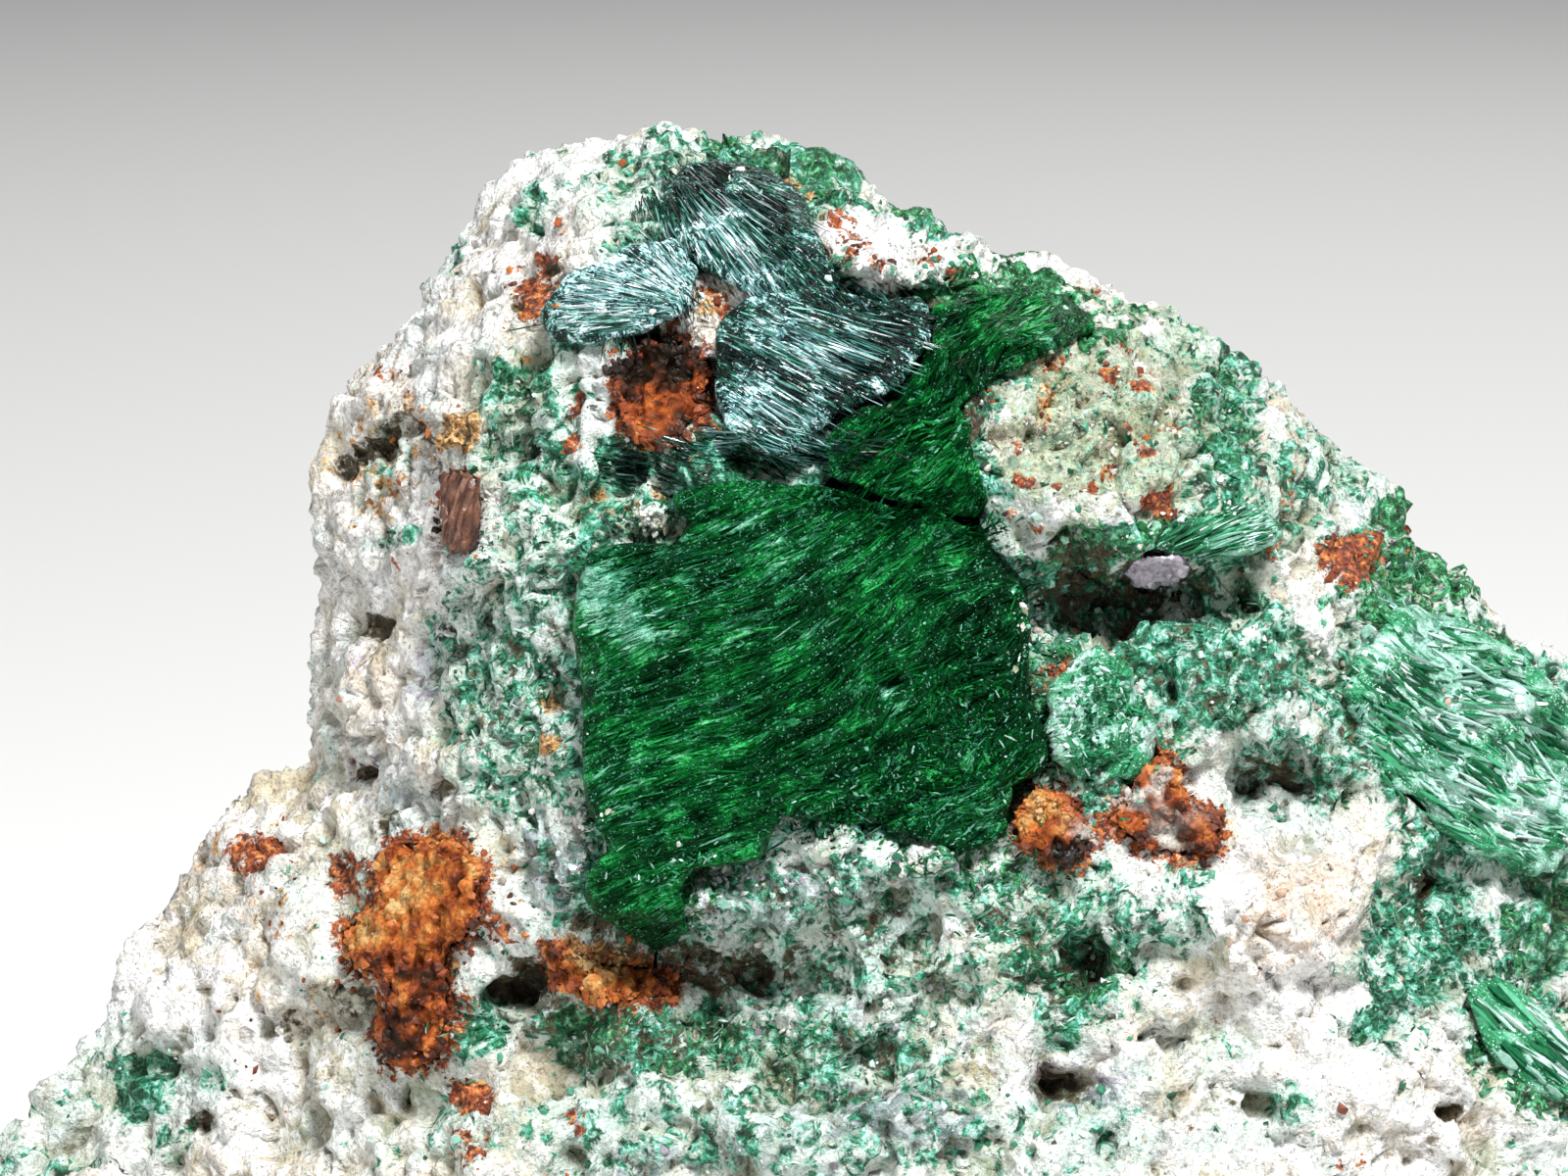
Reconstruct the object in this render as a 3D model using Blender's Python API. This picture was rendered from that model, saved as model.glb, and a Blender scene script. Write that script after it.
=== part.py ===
"""Szenicsite on altered granite: emerald blades and silky sprays set in a pale, rusty rock.

Shapes are laid out in a view plane that leans back from the upright by VIEW_TILT. A point there has
a place in the plane, in mm, and a height w towards the viewer. Places are read from a picture of
1600 by 1200 units, PICTURE_MM wide, and heights follow the eye's rays, EYE_MM away.
"""

import math
import random

import bmesh
import bpy
import numpy as np
from mathutils import Vector, noise
from mathutils.geometry import delaunay_2d_cdt

MM = 0.001
PICTURE_MM = 40.0
PICTURE_UNITS = 1600
PICTURE_CENTRE = (800, 600)
EYE_MM = 160.0
VIEW_TILT = math.radians(12)
BASE_DROP = 21.0  # from the middle of the view plane down to the flat base
BASE_BACK = 4.5  # from the middle of the view plane to the middle of the base

RIM_W = -7.0  # height of the rock's widest edge
RIM_ROUND = 2.4  # width over which the front rolls into that edge
BACK_DEPTH = 13.5
BACK_ROUND = 9.0  # width over which the back drops away from the rim
BACK_EDGE = 1.2
# Direction in degrees, reach in mm and slope of the broken faces behind the rim.
BREAKS = [
    (88, 12.5, 0.95), (60, 18.0, 1.3), (25, 23.0, 0.8), (-20, 27.5, 1.5), (128, 15.5, 1.15),
    (165, 20.5, 0.9), (200, 25.0, 1.4), (38, 24.0, 0.62), (110, 17.0, 0.6),
]
FRONT_SPACING = 0.98
BACK_SPACING = 2.6
RIM_SPACING = 1.1
RIM_RAGGED = 0.14  # how far the rim's points stray from its outline
RIM_BAND = 0.55  # width of the first ring of faces inside the rim

GAP = 0.3  # between a crystal group and the rock that holds it
CUT_W = 14.0  # height that clears everything in front of a socket
SEED = 7

ROCK_OUTLINE = [
    (-20, 1190), (60, 1095), (105, 1045), (125, 980), (190, 890), (205, 845), (250, 798), (315, 775),
    (309, 720), (318, 650), (330, 560), (322, 500), (334, 430), (352, 378), (405, 340), (445, 275),
    (500, 188), (550, 160), (640, 137), (682, 121), (735, 147), (772, 140), (855, 180), (940, 214),
    (1020, 258), (1075, 267), (1130, 287), (1160, 315), (1260, 348), (1290, 385), (1352, 425),
    (1430, 510), (1460, 555), (1550, 637), (1640, 690), (1730, 760), (1800, 860), (1835, 980),
    (1850, 1120), (1820, 1300), (1800, 1460), (1720, 1640), (-60, 1640), (-110, 1460), (-105, 1320),
    (-70, 1240),
]

# Place in the picture and height in mm of points that the rock's front passes through.
ROCK_FORM = [
    (820, 680, 4.6), (700, 900, 4.7), (650, 600, 4.3), (1000, 620, 3.8), (1000, 800, 3.5),
    (850, 520, 3.9), (700, 300, 2.2), (600, 220, 0.0), (800, 210, 0.6), (900, 330, 2.4),
    (690, 150, -2.2), (520, 260, -1.4), (450, 300, -3.4), (500, 400, 1.0), (400, 450, -2.6),
    (345, 480, -5.0), (520, 600, 2.4), (420, 600, -1.0), (345, 650, -4.2), (530, 750, 2.8),
    (400, 760, -0.8), (330, 770, -4.0), (450, 930, 1.6), (300, 900, -2.8), (220, 900, -5.0),
    (300, 1060, -1.8), (150, 1060, -5.0), (90, 1160, -5.4), (250, 1160, -2.4), (420, 1150, 1.2),
    (600, 1090, 2.7), (800, 1100, 3.6), (960, 1000, 3.6), (820, 1200, 4.8), (1050, 1200, 5.0),
    (1090, 450, 3.2), (1200, 450, 2.0), (1310, 500, -0.4), (1400, 520, -3.0), (1110, 740, 3.0),
    (1270, 720, 1.8), (1200, 930, 3.6), (1330, 950, 3.0), (1400, 1100, 3.4), (1250, 1110, 3.9),
    (1450, 700, -1.6), (1560, 740, -4.0), (1500, 850, -1.6), (1460, 960, -0.4), (1580, 1060, -0.6),
    (1600, 1220, 0.6), (60, 1320, -3.0), (400, 1350, 3.0), (800, 1420, 5.4), (1200, 1420, 5.2),
    (1600, 1420, 1.0), (1780, 1220, -4.0), (1700, 900, -5.6),
]

# Centre, half width, half height, turn in degrees, and height in mm; flat tops with steep sides.
LEDGES = [
    (912, 262, 98, 34, -14, 0.9),
    (1110, 440, 128, 112, -8, 0.7),
    (600, 836, 40, 22, 0, 0.5),
    (1310, 500, 60, 120, -30, 0.5),
    (655, 532, 40, 20, -8, 0.8),
    (1205, 930, 78, 42, 0, 0.5),
    (1325, 930, 72, 66, -20, 0.7),
    (935, 885, 62, 34, 10, 0.5),
    (465, 440, 26, 28, 0, 0.7),
    (465, 580, 36, 28, 0, 0.6),
    (1570, 690, 52, 46, -20, 0.8),
    (1282, 724, 52, 40, 0, 0.7),
    (160, 1025, 72, 30, 20, 0.7),
    (390, 700, 60, 40, -25, 0.5),
    (560, 1150, 90, 40, 5, 0.6),
    (1400, 1090, 120, 46, -32, 0.6),
    (1560, 1180, 90, 40, -28, 0.7),
    (760, 1160, 60, 36, 0, 0.5),
    (560, 190, 60, 34, 20, 0.4),
]
PITS = [
    (720, 990, 130, 44, -6, -2.4),
    (545, 1000, 44, 34, 0, -1.5),
    (1150, 606, 118, 38, -2, -2.6),
    (1295, 795, 44, 40, 10, -2.2),
    (1105, 995, 32, 34, 0, -1.2),
    (400, 455, 48, 30, -35, -1.3),
    (350, 478, 22, 24, 0, -0.9),
    (380, 638, 28, 20, 0, -0.9),
    (370, 790, 20, 18, 0, -1.0),
    (355, 1025, 30, 26, 0, -1.1),
    (297, 1045, 16, 26, 0, -0.8),
    (680, 400, 54, 54, 0, -0.9),
    (1200, 1052, 40, 28, 0, -1.0),
    (1485, 1135, 20, 18, 0, -0.9),
    (1450, 905, 26, 28, 0, -1.1),
    (485, 1118, 30, 22, 0, -0.7),
    (262, 872, 30, 22, 0, -0.7),
    (205, 1145, 24, 20, 0, -0.7),
]

WHITE_ROCK = (0.74, 0.73, 0.70)
EMERALD = (0.012, 0.12, 0.035)
SILKY_GREEN = (0.10, 0.26, 0.19)
RUST = (0.30, 0.09, 0.03)
OCHRE = (0.42, 0.20, 0.07)
LAVENDER = (0.45, 0.42, 0.48)

MAIN_OUTLINE = [
    (592, 612), (604, 568), (625, 560), (692, 560), (708, 532), (690, 508), (760, 492), (850, 506),
    (930, 528), (1000, 548), (1038, 590), (1050, 640), (1043, 700), (1060, 745), (1066, 784),
    (1028, 800), (1022, 850), (980, 868), (900, 842), (830, 832), (795, 822), (772, 868), (704, 880),
    (690, 905), (702, 948), (670, 964), (610, 930), (598, 905), (626, 868), (604, 820), (597, 700),
]
UPPER_OUTLINE = [
    (846, 452), (880, 424), (918, 410), (956, 352), (960, 318), (1000, 296), (1064, 300), (1096, 316),
    (1112, 334), (1076, 350), (1010, 384), (978, 412), (988, 462), (1008, 510), (1000, 528),
    (930, 508), (850, 486),
]
FAN_CENTRE_OUTLINE = [
    (742, 338), (768, 312), (830, 305), (895, 316), (936, 312), (940, 345), (905, 392), (860, 412),
    (828, 434), (792, 462), (746, 432), (738, 384),
]
FAN_UPPER_OUTLINE = [
    (686, 206), (704, 178), (745, 172), (784, 180), (810, 204), (820, 240), (850, 290), (770, 296),
    (722, 268), (696, 240),
]
FAN_LEFT_OUTLINE = [
    (560, 322), (590, 290), (640, 262), (686, 250), (704, 278), (694, 312), (656, 330), (610, 344),
    (572, 338),
]
SPRAY_RIGHT_OUTLINE = [(1176, 556), (1204, 532), (1286, 518), (1302, 546), (1262, 562), (1222, 570)]
PATCH_RIGHT_OUTLINE = [
    (1080, 716), (1096, 672), (1130, 672), (1160, 700), (1172, 748), (1150, 790), (1104, 798),
    (1084, 760),
]
BLADES_RIGHT_OUTLINE = [
    (1378, 690), (1426, 626), (1500, 640), (1560, 688), (1620, 740), (1668, 800), (1640, 858),
    (1560, 884), (1490, 862), (1430, 806), (1392, 748),
]
BLADE_CORNER_OUTLINE = [
    (1496, 1012), (1528, 1000), (1576, 1034), (1612, 1080), (1616, 1124), (1566, 1112), (1520, 1070),
]
POCKET_OUTLINE = [(562, 968), (600, 984), (650, 986), (692, 994), (684, 1016), (610, 1022), (566, 1000)]
RUST_HOLLOW_OUTLINE = [
    (655, 348), (700, 350), (722, 374), (720, 420), (690, 442), (655, 450), (634, 425), (632, 385),
]
CRUST_LEFT_OUTLINE = [
    (400, 862), (466, 858), (490, 890), (488, 940), (450, 975), (456, 1010), (448, 1080), (400, 1085),
    (386, 1050), (406, 1000), (362, 985), (352, 950), (385, 920), (388, 885),
]
PLATES_OUTLINE = [
    (1156, 812), (1182, 768), (1200, 790), (1214, 826), (1244, 832), (1240, 865), (1200, 872),
    (1146, 850), (1140, 832),
]
LOBE_OUTLINE = [(1044, 816), (1080, 810), (1110, 850), (1102, 878), (1070, 876), (1042, 852)]
BAR_OUTLINE = [(450, 486), (470, 480), (488, 490), (488, 556), (468, 564), (452, 556)]
QUARTZ_OUTLINE = [(1148, 584), (1160, 572), (1196, 568), (1212, 580), (1200, 594), (1160, 598)]


def in_plane(picture_points):
    """Picture places as mm in the view plane."""
    scale = PICTURE_MM / PICTURE_UNITS
    points = np.array(picture_points, dtype=float)
    return (points - PICTURE_CENTRE) * (scale, -scale)


def in_space(points, heights):
    """World positions of plane points at the given heights, along the eye's rays."""
    positions = []
    for (a, b), w in zip(points, heights):
        shrink = 1 - w / EYE_MM
        u, v = a * shrink, b * shrink
        y = v * math.sin(VIEW_TILT) - w * math.cos(VIEW_TILT) - BASE_BACK
        z = v * math.cos(VIEW_TILT) + w * math.sin(VIEW_TILT) + BASE_DROP
        positions.append(Vector((u, y, z)) * MM)
    return positions


def thin_plate(places, values):
    """The smoothest surface through values at places, as a function of plane points."""
    def bending(points):
        squared = ((points[:, None, :] - places[None, :, :]) ** 2).sum(axis=2)
        return 0.5 * squared * np.log(squared + 1e-9)

    count = len(places)
    level = np.hstack([np.ones((count, 1)), places])
    system = np.zeros((count + 3, count + 3))
    system[:count, :count] = bending(places)
    system[:count, count:] = level
    system[count:, :count] = level.T
    weights = np.linalg.solve(system, np.append(values, [0, 0, 0]))

    def surface(points):
        return bending(points) @ weights[:count] + weights[count] + points @ weights[count + 1:]

    return surface


def edge_distance(points, outline):
    """Distance from each point to the nearest side of a closed outline."""
    starts = outline
    spans = np.roll(outline, -1, axis=0) - starts
    offsets = points[:, None, :] - starts[None, :, :]
    along = np.clip((offsets * spans).sum(axis=2) / (spans ** 2).sum(axis=1), 0, 1)
    nearest = offsets - along[:, :, None] * spans
    return np.sqrt((nearest ** 2).sum(axis=2)).min(axis=1)


def inside(points, outline):
    """Whether each point lies inside a closed outline, by counting crossings."""
    x, y = points[:, None, 0], points[:, None, 1]
    x0, y0 = outline[:, 0], outline[:, 1]
    x1, y1 = np.roll(x0, -1), np.roll(y0, -1)
    spans = (y0 > y) != (y1 > y)
    rise = np.where(y1 == y0, 1e-9, y1 - y0)
    return (spans & (x < (x1 - x0) * (y - y0) / rise + x0)).sum(axis=1) % 2 == 1


def bump(points, feature, steepness):
    """Height that one ledge or pit adds at each point."""
    px, py, half_width, half_height, turn, height = feature
    scale = PICTURE_MM / PICTURE_UNITS
    offset = points - in_plane([(px, py)])
    angle = math.radians(turn)
    across = offset[:, 0] * math.cos(angle) + offset[:, 1] * math.sin(angle)
    up = offset[:, 1] * math.cos(angle) - offset[:, 0] * math.sin(angle)
    radius = np.hypot(across / (half_width * scale), up / (half_height * scale))
    return height * np.clip((1.25 - radius) * steepness, 0, 1)


FORM_PLACES = in_plane([(x, y) for x, y, _ in ROCK_FORM])
rock_form = thin_plate(FORM_PLACES, [w for _, _, w in ROCK_FORM])
ROCK_RIM = in_plane(ROCK_OUTLINE)


def roughness(points, size, offset):
    """Smooth noise from -1 to 1 over the plane, with lumps of the given size in mm."""
    return np.array([noise.noise(Vector((a / size, b / size, offset))) for a, b in points])


def blocks(points, size):
    """Steps from -1 to 1, each the size of a block in mm, on a turned grid."""
    return np.array([2 * noise.cell(Vector((a + 0.4 * b, b - 0.3 * a, 3.0)) / size) - 1 for a, b in points])


def rolled_in(points, height):
    """A front height that rolls over into the rim near the outline."""
    depth_in = np.clip(edge_distance(points, ROCK_RIM) / RIM_ROUND, 0, 1)
    return RIM_W + (height - RIM_W) * np.sqrt(1 - (1 - depth_in) ** 2)


def broad_height(points):
    """The rock's front with its ledges, pits and broad lumps."""
    height = rock_form(points)
    for feature in LEDGES:
        height += bump(points, feature, 2.5)
    for feature in PITS:
        height += bump(points, feature, 1.4)
    return height + 0.6 * roughness(points, 2.8, 1.0)


def front_height(points):
    """The rock's grainy front."""
    grain = 0.3 * roughness(points, 1.2, 5.0) + 0.28 * blocks(points, 1.9) + 0.16 * blocks(points, 1.1)
    return rolled_in(points, broad_height(points) + grain)


def back_height(points):
    """The rock's back: flat broken faces that lean in from the rim to a middle face."""
    depth_in = np.clip(edge_distance(points, ROCK_RIM) / BACK_ROUND, 0, 1)
    depth = BACK_DEPTH + 0.12 * points[:, 0] + 0.1 * points[:, 1]
    for turn, reach, slope in BREAKS:
        angle = math.radians(turn)
        outward = points @ np.array([math.cos(angle), math.sin(angle)])
        depth = np.minimum(depth, slope * (reach - outward))
    rolled = np.minimum(np.maximum(depth, 1.0), BACK_EDGE + 14 * depth_in)
    rolled = np.where(depth_in < 0.02, 0, rolled)
    return RIM_W - rolled + 0.35 * roughness(points, 4.0, 9.0)


def scattered(outline, spacing, margin, randomness):
    """Jittered points on a triangular grid inside an outline."""
    low, high = outline.min(axis=0), outline.max(axis=0)
    row_height = spacing * math.sqrt(3) / 2
    points = []
    for row in range(int((high[1] - low[1]) / row_height) + 1):
        for column in range(int((high[0] - low[0]) / spacing) + 2):
            a = low[0] + (column - 0.5 * (row % 2)) * spacing
            b = low[1] + row * row_height
            jitter_a, jitter_b = randomness.uniform(-0.28, 0.28), randomness.uniform(-0.28, 0.28)
            points.append((a + jitter_a * spacing, b + jitter_b * spacing))
    points = np.array(points)
    keep = inside(points, outline) & (edge_distance(points, outline) > margin)
    return points[keep]


def divided(outline, spacing):
    """An outline with points added so that no side is longer than the spacing."""
    points = []
    for start, end in zip(outline, np.roll(outline, -1, axis=0)):
        pieces = max(1, math.ceil(np.linalg.norm(end - start) / spacing))
        points += [start + (end - start) * step / pieces for step in range(pieces)]
    return np.array(points)


def grown(outline, amount):
    """An outline moved outwards by the given amount."""
    before = outline - np.roll(outline, 1, axis=0)
    after = np.roll(outline, -1, axis=0) - outline
    before /= np.linalg.norm(before, axis=1)[:, None]
    after /= np.linalg.norm(after, axis=1)[:, None]
    x, y = outline[:, 0], outline[:, 1]
    spin = np.sign((x * np.roll(y, -1) - np.roll(x, -1) * y).sum())
    normal = before + after
    normal /= np.maximum(np.linalg.norm(normal, axis=1)[:, None], 0.3)
    outward = np.stack([normal[:, 1], -normal[:, 0]], axis=1) * spin
    widening = 1 / np.clip(np.abs((normal * after).sum(axis=1)), 0.6, 1)
    return outline + outward * amount * widening[:, None]


def filled(outline, lines, loose):
    """Triangles that fill an outline, with lines kept as edges, and each corner's line number."""
    coordinates = [Vector(point) for point in outline]
    edges = []
    line_of = {}
    for number, line in enumerate(lines):
        first = len(coordinates)
        coordinates += [Vector(point) for point in line]
        edges += [(first + step, first + step + 1) for step in range(len(line) - 1)]
        line_of.update({first + step: number for step in range(len(line))})
    coordinates += [Vector(point) for point in loose]
    edges += [(point, (point + 1) % len(outline)) for point in range(len(outline))]
    corners, _, triangles, sources, _, _ = delaunay_2d_cdt(coordinates, edges, [], 0, 1e-5, True)
    corners = np.array([tuple(corner) for corner in corners])
    middles = np.array([corners[list(triangle)].mean(axis=0) for triangle in triangles])
    triangles = [triangle for triangle, kept in zip(triangles, inside(middles, outline)) if kept]
    numbers = [next((line_of[s] for s in source if s in line_of), None) for source in sources]
    on_rim = [any(s < len(outline) for s in source) for source in sources]
    return corners, triangles, numbers, on_rim


def rim_shortcuts(corners, triangles, on_rim):
    """Middles of the inner edges that join two rim corners, where front and back would touch."""
    uses = {}
    for triangle in triangles:
        for start, end in zip(triangle, triangle[1:] + triangle[:1]):
            edge = (min(start, end), max(start, end))
            uses[edge] = uses.get(edge, 0) + 1
    middles = [(corners[start] + corners[end]) / 2 for (start, end), count in uses.items()
               if count == 2 and on_rim[start] and on_rim[end]]
    return np.array(middles).reshape(-1, 2)


def material(name, color, roughness_value):
    surface = bpy.data.materials.new(name)
    surface.use_nodes = True
    shader = surface.node_tree.nodes["Principled BSDF"]
    shader.inputs["Base Color"].default_value = (*color, 1)
    shader.inputs["Roughness"].default_value = roughness_value
    surface.diffuse_color = (*color, 1)
    return surface


def solid(name, mesh_builder, surface):
    """A named object from a closed bmesh, with its faces turned outwards."""
    bmesh.ops.recalc_face_normals(mesh_builder, faces=mesh_builder.faces)
    mesh = bpy.data.meshes.new(name)
    mesh_builder.to_mesh(mesh)
    mesh_builder.free()
    piece = bpy.data.objects.new(name, mesh)
    bpy.context.scene.collection.objects.link(piece)
    if surface:
        mesh.materials.append(surface)
    return piece


def under_plane(corners, heights, depth):
    """A plane that lies under a surface, no nearer to it than the depth."""
    level = np.hstack([np.ones((len(corners), 1)), corners])
    slope = np.linalg.lstsq(level, heights, rcond=None)[0]
    slope[0] -= depth + (level @ slope - heights).max()
    return lambda points: slope[0] + points @ slope[1:]


def prism(name, outline, back_heights, front_w):
    """A cutter with straight walls along the eye's rays."""
    builder = bmesh.new()
    back = [builder.verts.new(p) for p in in_space(outline, back_heights)]
    front = [builder.verts.new(p) for p in in_space(outline, [front_w] * len(outline))]
    builder.faces.new(back)
    builder.faces.new(front)
    for side in range(len(outline)):
        after = (side + 1) % len(outline)
        builder.faces.new((back[side], back[after], front[after], front[side]))
    bmesh.ops.triangulate(builder, faces=builder.faces)
    cutter = solid(name, builder, None)
    cutter.hide_render = True
    cutter.display_type = "WIRE"
    return cutter


def parallel_lines(outline, turn, pitch, step, bow, randomness):
    """Ridge lines that run one way across an outline, bowed a little."""
    angle = math.radians(turn)
    along = np.array([math.cos(angle), math.sin(angle)])
    across = np.array([-along[1], along[0]])
    centre = outline.mean(axis=0)
    reach = np.abs(outline - centre).max() * 1.5
    lines = []
    for row in range(int(2 * reach / pitch)):
        offset = -reach + row * pitch
        travel = -reach + randomness.uniform(0, step)
        line = []
        while travel < reach:
            line.append(centre + along * travel + across * (offset + bow * travel ** 2))
            travel += step * randomness.uniform(0.7, 1.3)
        lines.append(np.array(line))
    return clipped(lines, outline)


def fan_lines(outline, origin, start, end, count, step, randomness):
    """Ridge lines that spread from one place, between two directions in degrees."""
    centre = in_plane([origin])[0]
    reach = np.linalg.norm(outline - centre, axis=1).max()
    lines = []
    for ray in range(count):
        angle = math.radians(start + (end - start) * ray / (count - 1))
        travel = step * randomness.uniform(0.3, 1.0)
        line = []
        while travel < reach:
            line.append(centre + travel * np.array([math.cos(angle), math.sin(angle)]))
            travel += step * randomness.uniform(0.8, 1.2)
        lines.append(np.array(line))
    return clipped(lines, outline)


def clipped(lines, outline):
    """The stretches of lines that lie inside an outline, clear of its sides."""
    stretches = []
    for line in lines:
        keep = inside(line, outline) & (edge_distance(line, outline) > 0.16)
        stretch = [tuple(point) for point, kept in zip(line, keep) if kept]
        stretches.append(stretch)
    return stretches


def crystals(name, outline_places, lines, proud, ridge, depth, surface, randomness):
    """A crystal group with a ridged front, let into the rock, and the cutter of its socket."""
    outline = in_plane(outline_places)
    corners, triangles, numbers, on_rim = filled(outline, lines, [])
    swing = [(1 if number % 2 else -1) * randomness.uniform(0.35, 1.0) for number in range(len(lines))]
    heights = rolled_in(corners, broad_height(corners)) + proud
    for index, (number, rim) in enumerate(zip(numbers, on_rim)):
        if rim:
            heights[index] -= 0.6 * ridge
        elif number is not None:
            heights[index] += ridge * swing[number] + randomness.uniform(-0.1, 0.1) * ridge
    floor = under_plane(corners, heights, depth)
    builder = bmesh.new()
    front = [builder.verts.new(p) for p in in_space(corners, heights)]
    for triangle in triangles:
        builder.faces.new([front[index] for index in triangle])
    place_of = dict(zip(front, corners))
    walls = [edge for edge in builder.edges if edge.is_boundary]
    lower = {}
    for edge in walls:
        for corner in edge.verts:
            if corner not in lower:
                place = place_of[corner][None, :]
                lower[corner] = builder.verts.new(in_space(place, floor(place))[0])
    for edge in walls:
        start, end = edge.verts
        builder.faces.new((start, end, lower[end], lower[start]))
    underside = [edge for edge in builder.edges if edge.is_boundary]
    bmesh.ops.triangle_fill(builder, edges=underside, use_beauty=True)
    piece = solid(name, builder, surface)
    socket_outline = grown(outline, GAP)
    socket = prism("socket_" + name, socket_outline, floor(socket_outline) - GAP, CUT_W)
    return piece, socket


def rock(surface, randomness):
    """The host rock: a front and a back that meet at the rim, cut flat below."""
    rim = divided(ROCK_RIM, RIM_SPACING)
    rim = rim + np.array([[randomness.uniform(-RIM_RAGGED, RIM_RAGGED) for _ in range(2)] for _ in rim])
    builder = bmesh.new()
    shared = {}
    for spacing, height_of in ((FRONT_SPACING, front_height), (BACK_SPACING, back_height)):
        inner_ring = grown(rim, -RIM_BAND)
        loose = np.vstack([inner_ring, scattered(rim, spacing, 0.9 * spacing, randomness)])
        corners, triangles, _, on_rim = filled(rim, [], loose)
        shortcuts = rim_shortcuts(corners, triangles, on_rim)
        if len(shortcuts):
            corners, triangles, _, on_rim = filled(rim, [], np.vstack([loose, shortcuts]))
        heights = height_of(corners)
        positions = in_space(corners, np.where(on_rim, RIM_W, heights))
        placed = []
        for place, position, at_rim in zip(corners, positions, on_rim):
            key = tuple(np.round(place, 4))
            if at_rim and key in shared:
                placed.append(shared[key])
                continue
            corner = builder.verts.new(position)
            placed.append(corner)
            if at_rim:
                shared[key] = corner
        for triangle in triangles:
            builder.faces.new([placed[index] for index in triangle])
    everything = list(builder.verts) + list(builder.edges) + list(builder.faces)
    bmesh.ops.bisect_plane(builder, geom=everything, plane_co=(0, 0, 0), plane_no=(0, 0, 1),
                           dist=1e-6, clear_inner=True)
    cut = [edge for edge in builder.edges if edge.is_boundary]
    bmesh.ops.edgeloop_fill(builder, edges=cut)
    bmesh.ops.triangulate(builder, faces=builder.faces)
    return solid("matrix", builder, surface)


def main():
    for leftover in list(bpy.data.objects):
        bpy.data.objects.remove(leftover)
    randomness = random.Random(SEED)
    white = material("white_rock", WHITE_ROCK, 0.8)
    emerald = material("emerald", EMERALD, 0.25)
    silky = material("silky_green", SILKY_GREEN, 0.3)
    rust = material("rust", RUST, 0.75)
    ochre = material("ochre", OCHRE, 0.85)
    lavender = material("lavender_quartz", LAVENDER, 0.3)

    def parallel(outline_places, turn, pitch, step, bow=0.0):
        return parallel_lines(in_plane(outline_places), turn, pitch, step, bow, randomness)

    def fan(outline_places, origin, start, end, count, step):
        return fan_lines(in_plane(outline_places), origin, start, end, count, step, randomness)

    # Name, outline, ridge lines, how far it stands proud, ridge height, depth, finish.
    groups = [
        ("szenicsite_main", MAIN_OUTLINE, parallel(MAIN_OUTLINE, 26, 0.36, 2.2, 0.006),
         0.35, 0.14, 1.6, emerald),
        ("szenicsite_upper", UPPER_OUTLINE, parallel(UPPER_OUTLINE, 48, 0.36, 1.6), 0.2, 0.14, 1.4, emerald),
        ("szenicsite_fan_centre", FAN_CENTRE_OUTLINE,
         fan(FAN_CENTRE_OUTLINE, (690, 300), -62, 6, 25, 1.5), 0.3, 0.14, 1.3, silky),
        ("szenicsite_fan_upper", FAN_UPPER_OUTLINE,
         fan(FAN_UPPER_OUTLINE, (660, 120), -76, -8, 23, 1.5), 0.2, 0.12, 1.2, silky),
        ("szenicsite_fan_left", FAN_LEFT_OUTLINE,
         fan(FAN_LEFT_OUTLINE, (724, 322), 100, 215, 27, 1.3), 0.25, 0.12, 1.2, silky),
        ("szenicsite_spray_right", SPRAY_RIGHT_OUTLINE,
         fan(SPRAY_RIGHT_OUTLINE, (1150, 580), -5, 50, 9, 1.2), 0.25, 0.12, 1.0, emerald),
        ("szenicsite_patch_right", PATCH_RIGHT_OUTLINE, parallel(PATCH_RIGHT_OUTLINE, 60, 0.4, 1.2),
         0.2, 0.16, 1.0, emerald),
        ("szenicsite_blades_right", BLADES_RIGHT_OUTLINE, parallel(BLADES_RIGHT_OUTLINE, -34, 0.42, 2.0),
         0.5, 0.3, 1.4, emerald),
        ("szenicsite_blade_corner", BLADE_CORNER_OUTLINE, parallel(BLADE_CORNER_OUTLINE, -42, 0.5, 1.6),
         0.45, 0.3, 1.1, emerald),
        ("iron_oxide_pocket", POCKET_OUTLINE, parallel(POCKET_OUTLINE, 15, 0.45, 0.6), 0.25, 0.25, 0.9, ochre),
        ("iron_oxide_hollow", RUST_HOLLOW_OUTLINE, parallel(RUST_HOLLOW_OUTLINE, 70, 0.42, 0.55),
         0.1, 0.35, 0.9, rust),
        ("iron_oxide_crust_left", CRUST_LEFT_OUTLINE, parallel(CRUST_LEFT_OUTLINE, 80, 0.5, 0.7),
         0.35, 0.3, 1.0, ochre),
        ("iron_oxide_plates_right", PLATES_OUTLINE, parallel(PLATES_OUTLINE, -20, 0.45, 0.7),
         0.5, 0.3, 1.0, rust),
        ("iron_oxide_lobe", LOBE_OUTLINE, parallel(LOBE_OUTLINE, 30, 0.42, 0.6), 0.4, 0.25, 0.9, rust),
        ("brown_prism", BAR_OUTLINE, parallel(BAR_OUTLINE, 88, 0.3, 0.8), 0.55, 0.08, 0.9, rust),
        ("quartz_grain", QUARTZ_OUTLINE, parallel(QUARTZ_OUTLINE, 5, 0.3, 0.5), 1.2, 0.1, 0.9, lavender),
    ]
    matrix = rock(white, randomness)
    for name, outline, lines, proud, ridge, depth, surface in groups:
        _, socket = crystals(name, outline, lines, proud, ridge, depth, surface, randomness)
        cut = matrix.modifiers.new("socket_" + name, "BOOLEAN")
        cut.operation = "DIFFERENCE"
        cut.object = socket


main()
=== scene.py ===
"""The looks of a szenicsite specimen: grainy rock, emerald blades, silky sprays and rust, lit softly."""
import math

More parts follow.
